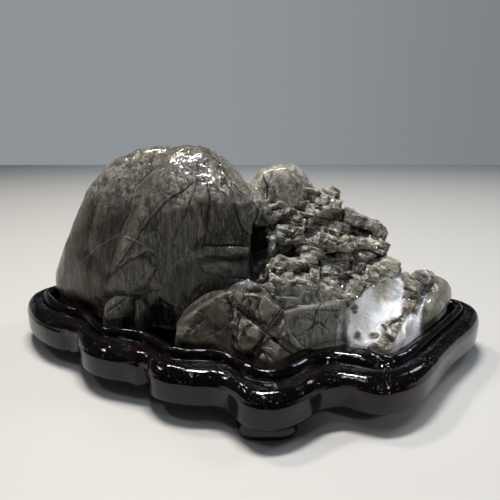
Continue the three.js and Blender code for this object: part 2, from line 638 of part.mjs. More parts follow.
// Triangle mesh of the surface where a field changes sign inside a box. A crossing keeps a little
// away from the corners of its cell, so that no triangle shrinks to nothing.
function surfaceOf(field, low, high, cell) {
  const leastShare = 0.06;
  const size = low.map((v, i) => Math.ceil((high[i] - v) / cell) + 1);
  const total = size[0] * size[1] * size[2];
  const indexOf = (i, j, k) => i + size[0] * (j + size[1] * k);
  const values = new Float64Array(total);
  for (let k = 0; k < size[2]; k++) {
    for (let j = 0; j < size[1]; j++) {
      for (let i = 0; i < size[0]; i++) {
        values[indexOf(i, j, k)] = field(low[0] + i * cell, low[1] + j * cell, low[2] + k * cell);
      }
    }
  }

  const positions = [];
  const known = new Map();
  const placeOf = (index) => [
    low[0] + cell * (index % size[0]),
    low[1] + cell * (Math.floor(index / size[0]) % size[1]),
    low[2] + cell * Math.floor(index / (size[0] * size[1])),
  ];
  const crossing = (a, b) => {
    const key = a < b ? a * total + b : b * total + a;
    if (known.has(key)) return known.get(key);
    const share = Math.min(Math.max(values[a] / (values[a] - values[b]), leastShare), 1 - leastShare);
    const p = placeOf(a);
    const q = placeOf(b);
    positions.push(p.map((v, i) => v + (q[i] - v) * share));
    known.set(key, positions.length - 1);
    return positions.length - 1;
  };

  const faces = [];
  const addFace = (a, b, c, inner, outer) => {
    const [p, q, r] = [positions[a], positions[b], positions[c]];
    const n = faceNormal(p, q, r);
    const from = placeOf(inner);
    const to = placeOf(outer);
    const facing = n[0] * (to[0] - from[0]) + n[1] * (to[1] - from[1]) + n[2] * (to[2] - from[2]);
    faces.push(facing > 0 ? [a, b, c] : [a, c, b]);
  };
  for (let k = 0; k + 1 < size[2]; k++) {
    for (let j = 0; j + 1 < size[1]; j++) {
      for (let i = 0; i + 1 < size[0]; i++) {
        const corner = (n) => indexOf(i + (n & 1), j + ((n >> 1) & 1), k + (n >> 2));
        for (const piece of CUBE_PIECES) {
          const points = piece.map(corner);
          const inside = points.filter((p) => values[p] < 0);
          const outside = points.filter((p) => values[p] >= 0);
          if (inside.length === 1) {
            const [a] = inside;
            const [b, c, d] = outside.map((p) => crossing(a, p));
            addFace(b, c, d, a, outside[0]);
          } else if (inside.length === 3) {
            const [a] = outside;
            const [b, c, d] = inside.map((p) => crossing(p, a));
            addFace(b, c, d, inside[0], a);
          } else if (inside.length === 2) {
            const [a, b] = inside;
            const [c, d] = outside;
            const [ac, ad, bc, bd] = [crossing(a, c), crossing(a, d), crossing(b, c), crossing(b, d)];
            addFace(ac, ad, bd, a, c);
            addFace(ac, bd, bc, a, c);
          }
        }
      }
    }
  }
  return { positions, faces };
}

function faceNormal(p, q, r) {
  const u = [q[0] - p[0], q[1] - p[1], q[2] - p[2]];
  const v = [r[0] - p[0], r[1] - p[1], r[2] - p[2]];
  return [u[1] * v[2] - u[2] * v[1], u[2] * v[0] - u[0] * v[2], u[0] * v[1] - u[1] * v[0]];
}

// The faces of the largest connected body, without the loose crumbs and bubbles beside it.
function largestBody({ positions, faces }) {
  const parent = positions.map((_, v) => v);
  const rootOf = (v) => {
    while (parent[v] !== v) {
      parent[v] = parent[parent[v]];
      v = parent[v];
    }
    return v;
  };
  for (const [a, b, c] of faces) {
    parent[rootOf(a)] = rootOf(b);
    parent[rootOf(b)] = rootOf(c);
  }
  const counts = new Map();
  for (const [a] of faces) counts.set(rootOf(a), (counts.get(rootOf(a)) ?? 0) + 1);
  const main = [...counts].sort((a, b) => b[1] - a[1])[0][0];
  return { positions, faces: faces.filter(([a]) => rootOf(a) === main) };
}

// A heap of edges, the one that changes the surface least on top.
class EdgeHeap {
  constructor() {
    this.items = [];
  }

  push(item) {
    const list = this.items;
    let at = list.push(item) - 1;
    while (at > 0) {
      const parent = (at - 1) >> 1;
      if (list[parent].cost <= list[at].cost) break;
      [list[parent], list[at]] = [list[at], list[parent]];
      at = parent;
    }
  }

  pop() {
    const list = this.items;
    const top = list[0];
    const last = list.pop();
    if (list.length) {
      list[0] = last;
      let at = 0;
      for (;;) {
        let child = 2 * at + 1;
        if (child >= list.length) break;
        if (child + 1 < list.length && list[child + 1].cost < list[child].cost) child++;
        if (list[at].cost <= list[child].cost) break;
        [list[child], list[at]] = [list[at], list[child]];
        at = child;
      }
    }
    return top;
  }
}

// Sum of squared distances from a set of planes, kept as the ten numbers of a symmetric matrix.
function planeSums(p, q, r) {
  const n = faceNormal(p, q, r);
  const area = Math.hypot(...n) || 1e-12;
  const [a, b, c] = n.map((v) => v / area);
  const d = -(a * p[0] + b * p[1] + c * p[2]);
  return [a * a, a * b, a * c, a * d, b * b, b * c, b * d, c * c, c * d, d * d].map((v) => v * area);
}

function planeError(q, [x, y, z]) {
  return (
    q[0] * x * x + 2 * q[1] * x * y + 2 * q[2] * x * z + 2 * q[3] * x +
    q[4] * y * y + 2 * q[5] * y * z + 2 * q[6] * y + q[7] * z * z + 2 * q[8] * z + q[9]
  );
}

// The point with the least error, or nothing where the planes leave it free to slide.
function leastErrorPoint(q) {
  const m = new THREE.Matrix3().set(q[0], q[1], q[2], q[1], q[4], q[5], q[2], q[5], q[7]);
  const trace = q[0] + q[4] + q[7];
  if (Math.abs(m.determinant()) < 1e-4 * trace ** 3) return null;
  const v = new THREE.Vector3(-q[3], -q[6], -q[8]).applyMatrix3(m.invert());
  return [v.x, v.y, v.z];
}

// Takes out edges one by one, flattest places first, until a number of triangles is left.
// An edge stays when taking it out would fold the surface or join two parts of it.
function thinned({ positions, faces }, wanted) {
  const longEdgeCost = 1e-4;
  const mostTurn = 0.25;
  const leastArea = 1e-3;
  const around = positions.map(() => new Set());
  const sums = positions.map(() => new Array(10).fill(0));
  faces.forEach((face, f) => {
    const plane = planeSums(...face.map((v) => positions[v]));
    for (const v of face) {
      around[v].add(f);
      for (let i = 0; i < 10; i++) sums[v][i] += plane[i];
    }
  });
  const stamp = new Array(positions.length).fill(0);
  const heap = new EdgeHeap();

  const neighbours = (v) => {
    const found = new Set();
    for (const f of around[v]) for (const w of faces[f]) if (w !== v) found.add(w);
    return found;
  };
  const offer = (a, b) => {
    const q = sums[a].map((s, i) => s + sums[b][i]);
    const p = positions[a];
    const r = positions[b];
    const middle = p.map((s, i) => (s + r[i]) / 2);
    const best = leastErrorPoint(q);
    const reach = Math.hypot(p[0] - r[0], p[1] - r[1], p[2] - r[2]);
    let place = middle;
    if (best && Math.hypot(best[0] - middle[0], best[1] - middle[1], best[2] - middle[2]) < reach) {
      place = best;
    }
    const cost = Math.max(planeError(q, place), 0) + longEdgeCost * reach * reach;
    heap.push({ a, b, place, q, cost, seen: stamp[a] + stamp[b] });
  };
  const folds = (v, other, place) => {
    for (const f of around[v]) {
      const face = faces[f];
      if (face.includes(other)) continue;
      const before = faceNormal(...face.map((w) => positions[w]));
      const after = faceNormal(...face.map((w) => (w === v ? place : positions[w])));
      const sizes = Math.hypot(...before) * Math.hypot(...after);
      const same = before[0] * after[0] + before[1] * after[1] + before[2] * after[2];
      if (same < mostTurn * sizes || Math.hypot(...after) < leastArea) return true;
    }
    return false;
  };

  faces.forEach(([a, b, c]) => {
    if (a < b) offer(a, b);
    if (b < c) offer(b, c);
    if (c < a) offer(c, a);
  });
  let left = faces.length;
  while (left > wanted && heap.items.length) {
    const { a, b, place, q, seen } = heap.pop();
    if (!around[a].size || !around[b].size || seen !== stamp[a] + stamp[b]) continue;
    const nearA = neighbours(a);
    const shared = [...neighbours(b)].filter((v) => nearA.has(v));
    if (!nearA.has(b) || shared.length !== 2) continue;
    if (shared.some((v) => around[v].size <= 3)) continue;
    if (folds(a, b, place) || folds(b, a, place)) continue;
    for (const f of around[b]) {
      const face = faces[f];
      if (face.includes(a)) {
        for (const v of face) if (v !== b) around[v].delete(f);
        faces[f] = null;
        left--;
      } else {
        face[face.indexOf(b)] = a;
        around[a].add(f);
      }
    }
    around[b].clear();
    positions[a] = place;
    sums[a] = q;
    stamp[a] += 1 + stamp[b];
    for (const v of neighbours(a)) offer(a, v);
  }

  const used = new Map();
  const kept = [];
  const corners = [];
  for (const face of faces) {
    if (!face) continue;
    for (const v of face) {
      if (!used.has(v)) {
        used.set(v, kept.length / 3);
        kept.push(...positions[v]);
      }
      corners.push(used.get(v));
    }
  }
  return { positions: kept, corners };
}

// The stone, sampled and thinned; corners within a hair of the flat base are laid exactly on it.
function stoneBody() {
  const hair = 0.25;
  const low = [-112, -64, ROCK_BASE - 3.1];
  const high = [106, 62, 106];
  const surface = surfaceOf(stoneField, low, high, ROCK_CELL);
  const { positions, corners } = thinned(largestBody(surface), ROCK_TRIANGLES);
  for (let i = 2; i < positions.length; i += 3) {
    if (positions[i] < ROCK_BASE + hair) positions[i] = ROCK_BASE;
  }
  return indexedGeometry(positions, corners);
}

function rockMaterial() {
  return new THREE.MeshStandardMaterial({ color: 0x5b5850, roughness: 0.55, metalness: 0 });
}

function lacquerMaterial() {
  return new THREE.MeshStandardMaterial({ color: 0x0d090c, roughness: 0.12, metalness: 0 });
}

function named(name, geometry, material) {
  const mesh = new THREE.Mesh(geometry, material);
  mesh.name = name;
  return mesh;
}

const viewingStone = new THREE.Group();
viewingStone.name = "viewing_stone_on_stand";
viewingStone.add(named("stone", stoneBody(), rockMaterial()));
viewingStone.add(named("stand", standBody(), lacquerMaterial()));
for (const [name, x, y, turn, halfLength, halfWidth] of FEET) {
  viewingStone.add(named(name, footPad(x, y, turn, halfLength, halfWidth), lacquerMaterial()));
}
const footprint = new THREE.Box3().setFromObject(viewingStone, true);
viewingStone.position.x = -(footprint.min.x + footprint.max.x) / 2;
viewingStone.position.y = -(footprint.min.y + footprint.max.y) / 2;

export default viewingStone;
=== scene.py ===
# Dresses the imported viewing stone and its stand: a finely broken rock surface with white calcite,
# and a carved stand in black lacquer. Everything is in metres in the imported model's frame, but the
# shapes are worked out in millimetres and turned into metres when a mesh is made.
import math

import bpy
import numpy as np
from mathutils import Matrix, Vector
from mathutils.bvhtree import BVHTree
from mathutils.kdtree import KDTree


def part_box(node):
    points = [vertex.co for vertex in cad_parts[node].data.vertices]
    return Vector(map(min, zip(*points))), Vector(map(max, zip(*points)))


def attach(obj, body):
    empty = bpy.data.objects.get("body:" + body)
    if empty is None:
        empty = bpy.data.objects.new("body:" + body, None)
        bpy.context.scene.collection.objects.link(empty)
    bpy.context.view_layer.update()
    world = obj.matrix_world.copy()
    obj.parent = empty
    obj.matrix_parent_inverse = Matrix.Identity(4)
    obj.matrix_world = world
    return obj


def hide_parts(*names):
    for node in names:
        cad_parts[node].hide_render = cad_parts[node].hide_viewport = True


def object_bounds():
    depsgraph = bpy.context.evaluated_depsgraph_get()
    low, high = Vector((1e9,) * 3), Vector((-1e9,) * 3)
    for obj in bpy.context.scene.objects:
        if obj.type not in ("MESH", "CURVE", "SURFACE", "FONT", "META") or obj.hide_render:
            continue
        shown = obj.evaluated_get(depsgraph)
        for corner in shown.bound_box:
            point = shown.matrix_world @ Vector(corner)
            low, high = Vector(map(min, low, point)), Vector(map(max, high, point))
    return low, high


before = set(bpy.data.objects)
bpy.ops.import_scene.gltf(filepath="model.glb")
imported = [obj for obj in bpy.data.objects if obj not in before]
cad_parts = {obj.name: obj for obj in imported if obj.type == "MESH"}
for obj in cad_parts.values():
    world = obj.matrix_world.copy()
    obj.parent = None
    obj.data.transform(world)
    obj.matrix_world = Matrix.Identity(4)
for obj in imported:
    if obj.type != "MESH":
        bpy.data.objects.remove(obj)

CAD_LOW, CAD_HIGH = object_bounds()
CAD_STONE_LOW, CAD_STONE_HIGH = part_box("stone")
MM = 0.001
PER_METRE = 1000.0

# The camera: its place, how far it looks down, and its focal length in pixels of a 500-wide picture.
EYE = np.array([1.42, -222.5, 121.5])
LOOK_DOWN = math.radians(17.3)
FOCAL = 510
PICTURE = 500
SENSOR_WIDTH = 36

FINE_GRAIN = 0.46
STONE_TRIANGLES = 195000
TOP_MARGIN = 0.04
BROKEN_EDGE = math.radians(32)


def link(name, data):
    """Puts a mesh, lamp or camera in the scene."""
    obj = bpy.data.objects.new(name, data)
    bpy.context.scene.collection.objects.link(obj)
    return obj


def make_camera():
    data = bpy.data.cameras.new("camera")
    data.sensor_width = SENSOR_WIDTH
    data.lens = SENSOR_WIDTH * FOCAL / PICTURE
    data.clip_start = 0.01
    camera = link("camera", data)
    camera.location = Vector(EYE) * MM
    camera.rotation_euler = (math.radians(90) - LOOK_DOWN, 0, 0)
    bpy.context.scene.camera = camera


def sight_line(x, y):
    """Direction in which the camera sees the picture's point (x, y)."""
    u = (x - PICTURE / 2) / FOCAL
    v = (y - PICTURE / 2) / FOCAL
    s, c = math.sin(LOOK_DOWN), math.cos(LOOK_DOWN)
    return Vector((u, c - v * s, -s - v * c)).normalized()


def in_picture(points):
    """Where points in millimetres are seen in the picture."""
    q = points - EYE
    s, c = math.sin(LOOK_DOWN), math.cos(LOOK_DOWN)
    depth = q[:, 1] * c - q[:, 2] * s
    x = PICTURE / 2 + FOCAL * q[:, 0] / depth
    y = PICTURE / 2 - FOCAL * (q[:, 1] * s + q[:, 2] * c) / depth
    return np.stack([x, y], 1)


# Chance and waves

def chance(i, j, k, seed):
    """A repeatable number from 0 to 1 for each whole-numbered cell of space."""
    h = (i * 73856093) ^ (j * 19349663) ^ (k * 83492791) ^ (seed * 40503001)
    h = h & 0xFFFFFFFF
    h = ((h ^ (h >> 15)) * 739982445) & 0xFFFFFFFF
    h = ((h ^ (h >> 12)) * 695872825) & 0xFFFFFFFF
    return ((h ^ (h >> 15)) & 0xFFFF) / 65535.0


# A turn through space, so that each finer wave lies askew to the last.
TURNED = np.array([[0.80, 0.60, 0.0], [-0.48, 0.64, 0.60], [0.36, -0.48, 0.80]])


def wave(points, size, seed=0):
    """Smooth chance through space from -1 to 1. size is its grain in millimetres, one or three."""
    q = points / size
    cell = np.floor(q).astype(np.int64)
    f = q - cell
    f = f * f * f * (f * (f * 6 - 15) + 10)
    total = np.zeros(len(points))
    for n in range(8):
        corner = np.array([n & 1, (n >> 1) & 1, n >> 2])
        weight = np.prod(np.where(corner, f, 1 - f), axis=1)
        at = cell + corner
        total += weight * chance(at[:, 0], at[:, 1], at[:, 2], seed)
    return 2 * total - 1


def rough(points, size, octaves=4, seed=0):
    """Waves of ever finer grain, each half as high as the last."""
    total = np.zeros(len(points))
    height, q = 1.0, points / size
    for n in range(octaves):
        total += height * wave(q, 1.0, seed + n)
        q = q @ TURNED * 2.03
        height *= 0.5
    return total


def ridged(points, size, octaves=4, seed=0, turned=TURNED):
    """Sharp crests between rounded valleys, from 0 to about 1."""
    total = np.zeros(len(points))
    height, q = 0.5, points / size
    for n in range(octaves):
        total += height * (1 - np.abs(wave(q, 1.0, seed + n)))
        q = q @ turned * 2.1
        height *= 0.5
    return total


def shards(points, size, seed=0):
    """Broken pieces of rock: how far a point is inside its piece, from 0 at a joint to about 1, how
    far that piece stands out, from 0 to 1, and how its own flat face tilts, from about -1 to 1."""
    q = points / size
    cell = np.floor(q).astype(np.int64)
    first = np.full(len(points), 9.0)
    second = np.full(len(points), 9.0)
    own = np.zeros((len(points), 3), np.int64)
    offset = np.zeros((len(points), 3))
    for n in range(27):
        at = cell + np.array([n % 3 - 1, n // 3 % 3 - 1, n // 9 - 1])
        a, b, c = at.T
        seat = at + np.stack([chance(a, b, c, seed), chance(a, b, c, seed + 1), chance(a, b, c, seed + 2)], 1)
        d = np.linalg.norm(q - seat, axis=1)
        nearer = d < first
        second = np.where(nearer, first, np.minimum(second, d))
        first = np.where(nearer, d, first)
        own[nearer] = at[nearer]
        offset[nearer] = (q - seat)[nearer]
    a, b, c = own.T
    lean = np.stack([chance(a, b, c, seed + 3), chance(a, b, c, seed + 4), chance(a, b, c, seed + 5)], 1)
    return second - first, chance(a, b, c, seed + 6), 2 * np.einsum("ij,ij->i", offset, 2 * lean - 1)


def ramp(value, low, high):
    t = np.clip((value - low) / (high - low), 0, 1)
    return t * t * (3 - 2 * t)


def patch(seen, outline, soft):
    """1 inside an outline drawn in the picture, 0 outside, changing over soft pixels at its edge."""
    corner = np.array(outline, float)
    inside = np.zeros(len(seen), bool)
    nearest = np.full(len(seen), 1e9)
    for (ax, ay), (bx, by) in zip(corner, np.roll(corner, -1, 0)):
        ex, ey = bx - ax, by - ay
        t = ((seen[:, 0] - ax) * ex + (seen[:, 1] - ay) * ey) / (ex * ex + ey * ey)
        t = np.clip(t, 0, 1)
        gap = np.hypot(seen[:, 0] - ax - ex * t, seen[:, 1] - ay - ey * t)
        nearest = np.minimum(nearest, gap)
        crosses = (ay > seen[:, 1]) != (by > seen[:, 1])
        level = np.where(crosses, (seen[:, 1] - ay) / (ey if ey else 1e-9), 0)
        inside ^= crosses & (seen[:, 0] < ax + level * ex)
    signed = np.where(inside, nearest, -nearest)
    return ramp(signed, -soft, soft)


# The stone's regions, as outlines in the picture. Each reaches through the rock to its back.
SHOULDER = [(30, 330), (40, 260), (60, 180), (95, 150), (150, 130), (172, 140), (160, 165),
            (136, 188), (130, 215), (120, 240), (110, 275), (106, 330)]
SLAB = [(172, 130), (215, 140), (243, 178), (262, 200), (262, 215), (252, 240), (262, 290),
        (236, 290), (200, 312), (180, 350), (106, 350), (106, 320), (110, 275), (120, 240),
        (130, 215), (136, 188), (160, 165)]
WEDGE = [(176, 330), (186, 312), (205, 300), (232, 286), (240, 290), (226, 305), (234, 325), (230, 352),
         (178, 350)]
PEAK = [(243, 190), (262, 165), (285, 158), (308, 170), (314, 195), (303, 208),
        (286, 208), (272, 200), (256, 202)]
CRAG = [(264, 222), (262, 206), (274, 201), (288, 208), (302, 207), (309, 180), (335, 178), (370, 205),
        (405, 245), (402, 276), (385, 285), (366, 290), (350, 308), (342, 292), (300, 285), (268, 288),
        (258, 262)]
BROWN_BLOCKS = [(232, 292), (252, 282), (266, 296), (268, 310), (282, 318), (290, 340), (302, 372),
                (250, 380), (228, 350), (232, 325), (222, 305)]
BUTTRESS = [(262, 288), (345, 286), (352, 300), (350, 352), (302, 372), (288, 340), (276, 312)]
RIB = [(404, 270), (438, 268), (428, 290), (416, 315), (403, 314), (400, 330), (394, 350), (384, 362),
       (352, 360), (362, 349), (384, 340), (382, 326), (400, 316), (403, 300)]
CALCITE = [(346, 352), (349, 308), (366, 290), (380, 281), (392, 272), (407, 284), (405, 300),
           (402, 316), (383, 326), (380, 340), (362, 352)]
CALCITE_STREAK = [(424, 283), (427, 292), (420, 312), (420, 335), (400, 362), (382, 362), (396, 345),
                  (401, 325), (412, 305)]
END_LUMP = [(430, 275), (470, 275), (470, 340), (410, 350), (420, 335), (420, 312), (427, 292)]
END_PATCH = [(441, 303), (450, 307), (446, 318), (437, 322)]
OCHRE_STAIN = [(377, 283), (388, 281), (392, 290), (388, 304), (379, 304), (374, 296)]
KNOBS = [
    [(350, 306), (354, 303), (358, 306), (359, 311), (355, 314), (351, 312)],
    [(354, 333), (357, 331), (360, 334), (360, 338), (357, 340), (354, 337)],
    [(367, 336), (370, 333), (375, 334), (378, 337), (374, 341), (369, 340)],
]
# A band on the dome's right, painted paler as a painted sheen where light falls on it from the right and
# behind.
SHEEN_BAND = [(203, 148), (225, 154), (245, 177), (262, 196), (259, 206), (240, 198),
                (226, 184), (212, 168)]
# Flat faces that broke along a plane, as (how flat, softness of the edge, outline in the picture).
FACETS = [
    (0.85, 1.4, [(187, 323), (196, 316), (212, 307), (228, 297), (229, 305), (218, 322),
                (206, 345), (184, 338)]),
    (0.5, 3.0, [(113, 273), (128, 252), (141, 232), (152, 250), (140, 256), (124, 265)]),
    (0.5, 3.0, [(110, 279), (124, 270), (146, 259), (156, 268), (148, 284), (128, 292), (108, 294)]),
    (0.85, 1.4, [(236, 203), (257, 207), (253, 228), (245, 229)]),
    (0.8, 2.0, [(212, 152), (226, 160), (243, 180), (260, 200), (250, 202), (236, 193), (224, 178)]),
    (0.85, 1.4, [(283, 314), (300, 309), (344, 304), (346, 345), (320, 352), (302, 350), (290, 336)]),
    (0.85, 1.4, [(264, 290), (284, 288), (300, 294), (296, 304), (282, 309), (270, 300)]),
    (0.85, 1.4, [(306, 296), (330, 290), (344, 290), (344, 302), (312, 306)]),
    (0.85, 1.2, [(236, 308), (248, 319), (242, 332), (234, 326)]),
    (0.85, 1.2, [(262, 300), (274, 309), (278, 314), (268, 327), (258, 318)]),
    (0.85, 1.2, [(248, 322), (262, 331), (258, 344), (249, 352), (240, 336)]),
    (0.85, 1.2, [(262, 334), (282, 350), (276, 364), (258, 350)]),
    (0.85, 1.2, [(346, 214), (356, 214), (384, 233), (380, 237), (356, 228)]),
    (0.8, 1.6, [(266, 220), (277, 223), (282, 238), (276, 252), (266, 262), (256, 280),
                (252, 277), (258, 262), (267, 246)]),
]
SMOOTH_VEIN = [(263, 218), (275, 221), (281, 240), (272, 258), (259, 281), (250, 283), (254, 262), (263, 246)]
BLUISH_FOOT = [(203, 264), (225, 262), (248, 266), (251, 284), (232, 282), (210, 274)]
# The crag's top: paler stone, painted paler still as painted light where it faces the lamps above.
PALE_LIT_CRAG_TOP = [(308, 180), (340, 182), (348, 204), (340, 214), (312, 212)]
WARM_BAND = [(152, 168), (172, 160), (165, 190), (158, 210), (140, 232), (122, 240), (130, 212), (136, 190)]

# Steps between the places looked up along a stroke, and the stretch over which it fades towards
# its ends, in pixels of the picture, and how strong it is at its very end.
STROKE_STEP = 0.6
FADE_LENGTH = 8.0
FADED_END = 0.25

# Cracks as (width, depth) in millimetres and points in the picture, laid on the rock by sight.
CRACKS = [
    (0.6, 0.5, [(176, 158), (186, 170), (197, 180)]),
    (0.6, 0.5, [(214, 158), (224, 176), (234, 196)]),
    (0.6, 0.5, [(197, 180), (214, 186), (232, 200)]),
    (0.6, 0.5, [(160, 190), (172, 196), (186, 200)]),
    (0.5, 0.4, [(214, 208), (222, 224), (226, 240)]),
    (0.5, 0.4, [(150, 222), (160, 232), (166, 246)]),
    (2.0, 0.9, [(144, 202), (147, 206)]),
    (0.75, 1.0, [(195, 182), (183, 191), (170, 199), (161, 208), (150, 220), (142, 231), (136, 240),
                (129, 251), (122, 262), (111, 273)]),
    (0.9, 0.8, [(152, 250), (142, 255), (128, 262), (118, 269), (107, 276)]),
    (0.6, 0.5, [(121, 235), (132, 239), (142, 244), (153, 251)]),
    (0.8, 0.7, [(199, 171), (206, 184), (209, 198), (208, 216), (205, 238)]),
    (0.7, 0.5, [(196, 160), (198, 170), (197, 183), (190, 203), (183, 220), (173, 240)]),
    (1.2, 1.1, [(233, 202), (238, 218), (243, 230), (251, 238)]),
    (1.2, 1.0, [(260, 207), (256, 219), (252, 231)]),
    (0.8, 0.7, [(205, 151), (222, 166), (231, 181), (240, 192), (258, 202)]),
    (0.6, 0.5, [(160, 165), (148, 175), (139, 184)]),
    (0.8, 0.8, [(104, 297), (115, 295), (128, 294)]),
    (0.7, 0.6, [(136, 295), (146, 292), (158, 289)]),
    (0.9, 0.9, [(105, 314), (116, 306), (124, 300), (133, 296)]),
    (0.6, 0.6, [(146, 272), (137, 280), (129, 287)]),
    (0.6, 0.5, [(150, 252), (156, 258), (161, 266)]),
    (1.1, 0.9, [(203, 245), (215, 246), (232, 246), (247, 247)]),
    (2.6, 1.5, [(205, 257), (214, 259), (230, 260), (248, 259)]),
    (0.9, 0.8, [(203, 286), (194, 292), (190, 300)]),
    (0.7, 0.5, [(168, 250), (163, 275), (160, 300), (163, 322)]),
    (0.6, 0.5, [(180, 245), (176, 270), (178, 295)]),
    (1.0, 1.0, [(224, 298), (232, 307), (243, 314), (252, 321), (258, 327)]),
    (1.1, 1.1, [(262, 331), (272, 339), (283, 348), (296, 357)]),
    (1.2, 1.3, [(285, 307), (276, 318), (268, 331), (259, 344), (249, 357)]),
    (0.8, 0.8, [(241, 314), (237, 326), (236, 340), (239, 354)]),
    (0.9, 0.9, [(255, 345), (264, 355), (271, 366)]),
    (0.8, 0.8, [(246, 292), (251, 304), (247, 316)]),
    (0.8, 0.8, [(262, 297), (256, 310), (262, 322), (270, 328)]),
    (0.7, 0.7, [(232, 341), (240, 352), (252, 357), (262, 358)]),
    (0.8, 0.7, [(281, 312), (292, 309), (300, 306)]),
    (0.7, 0.6, [(304, 318), (317, 322), (330, 331)]),
    (0.7, 0.6, [(312, 311), (326, 311), (341, 311)]),
    (0.7, 0.6, [(285, 330), (290, 344), (300, 352)]),
    (0.7, 0.6, [(316, 292), (320, 304), (314, 318), (312, 334)]),
    (0.6, 0.5, [(300, 335), (310, 328), (322, 322)]),
    (0.7, 0.6, [(268, 290), (275, 300), (288, 304)]),
    (1.0, 1.2, [(344, 222), (355, 228), (366, 232), (378, 237)]),
    (0.9, 1.0, [(300, 213), (308, 220), (306, 231)]),
    (0.9, 1.0, [(349, 252), (362, 251), (375, 249), (389, 246)]),
    (1.0, 1.2, [(298, 262), (308, 266), (319, 265), (321, 257)]),
    (1.1, 1.3, [(317, 258), (322, 270), (320, 284)]),
    (1.1, 1.3, [(366, 262), (376, 259), (384, 256)]),
    (1.0, 1.2, [(343, 276), (354, 274), (364, 277)]),
    (1.1, 1.3, [(352, 302), (361, 294), (368, 284)]),
    (0.9, 1.0, [(300, 245), (292, 250), (286, 257)]),
    (0.9, 1.0, [(264, 275), (278, 270), (296, 273), (312, 272)]),
    (0.9, 1.0, [(326, 232), (338, 236), (350, 233), (362, 240)]),
    (0.9, 1.0, [(318, 216), (330, 221), (342, 218)]),
    (0.8, 0.9, [(330, 262), (344, 260), (356, 264)]),
    (0.9, 1.0, [(262, 172), (268, 188), (266, 203)]),
    (1.0, 1.1, [(405, 299), (414, 299), (420, 296)]),
    (1.0, 1.1, [(404, 315), (396, 322), (384, 328)]),
    (0.8, 0.8, [(400, 337), (391, 342), (380, 340)]),
]

# Veins of pale quartz as (width, points in the picture).
VEINS = [
    (1.9, [(269, 221), (273, 230), (275, 240), (270, 250), (263, 260)]),
    (1.2, [(263, 260), (257, 268), (253, 279)]),
    (1.3, [(245, 262), (247, 272), (249, 280), (251, 288)]),
    (1.4, [(429, 279), (424, 291), (420, 303)]),
    (1.0, [(420, 305), (420, 320), (418, 336)]),
    (1.5, [(325, 258), (323, 268), (319, 280)]),
    (1.6, [(341, 318), (340, 332), (338, 344)]),
    (1.3, [(286, 216), (281, 228), (279, 238)]),
    (1.0, [(344, 223), (338, 226)]),
    (0.8, [(256, 196), (252, 196)]),
    (0.6, [(276, 171), (270, 186), (263, 202)]),
    (0.5, [(243, 318), (239, 330), (238, 345)]),
]

# Hair-thin pale threads of quartz, and pale lines beside the cracks that are painted highlights on
# their edges, as (width, points in the picture).
THREADS_AND_HIGHLIGHTS = [
    (0.34, [(121, 235), (132, 239), (142, 244), (153, 251)]),
    (0.22, [(82, 262), (92, 252), (100, 245), (110, 238), (121, 235)]),
    (0.20, [(196, 179), (184, 187), (171, 195), (161, 204), (151, 215), (142, 226)]),
    (0.16, [(136, 236), (129, 247), (122, 258), (112, 269)]),
    (0.18, [(150, 247), (140, 252), (127, 259), (117, 266)]),
    (0.20, [(106, 296), (117, 294), (128, 293)]),
    (0.26, [(137, 294), (147, 291), (159, 287)]),
    (0.20, [(146, 271), (137, 279), (130, 286)]),
    (0.20, [(172, 162), (180, 171), (190, 186)]),
    (0.18, [(205, 166), (214, 180), (219, 196)]),
    (0.18, [(152, 172), (160, 170), (168, 176)]),
    (0.20, [(286, 305), (297, 306), (309, 304)]),
    (0.18, [(300, 320), (314, 324), (329, 333)]),
    (0.20, [(250, 322), (260, 330), (271, 338)]),
    (0.18, [(283, 309), (275, 320), (267, 333)]),
    (0.20, [(350, 349), (358, 343), (368, 338), (380, 334)]),
    (0.18, [(184, 258), (178, 262), (171, 270)]),
    (0.18, [(163, 280), (160, 292), (158, 303)]),
    (0.18, [(178, 238), (174, 246), (176, 255)]),
]

# Rounded lumps at the dome's foot as (height in millimetres, outline in the picture).
LUMPS = [
    (2.5, [(105, 320), (108, 309), (119, 299), (131, 296), (135, 302), (130, 314), (126, 328), (114, 331)]),
    (2.4, [(137, 304), (143, 300), (149, 307), (151, 319), (148, 331), (138, 333), (134, 321)]),
    (0.8, [(196, 262), (214, 263), (236, 264), (249, 268), (247, 276), (226, 276), (204, 272)]),
]

# The line in the picture above which the low ridge before the dome does not rise.
RIDGE_LINE = [(180, 330), (184, 322), (192, 317), (202, 311), (212, 305), (222, 299), (232, 294), (240, 291),
              (250, 288), (258, 286), (265, 282), (272, 272), (280, 255)]

# Hollows as (height in millimetres, which is below zero, outline in the picture).
HOLLOWS = [
    (-2.5, [(251, 236), (257, 238), (262, 246), (260, 262), (268, 268), (268, 280), (258, 286),
            (251, 280), (250, 262)]),
    (-0.8, [(96, 300), (105, 305), (106, 325), (98, 318)]),
    (-1.8, [(128, 332), (131, 312), (135, 302), (137, 314), (134, 334)]),
    (-2.2, [(153, 308), (161, 301), (172, 307), (176, 324), (170, 335), (155, 333)]),
    (-1.6, [(265, 222), (275, 226), (279, 240), (270, 255), (262, 262), (258, 258), (264, 244)]),
    (-2.2, [(283, 248), (292, 245), (296, 250), (291, 257), (284, 256)]),
    (-3.0, [(253, 226), (263, 227), (268, 236), (266, 247), (258, 248), (253, 238)]),
]

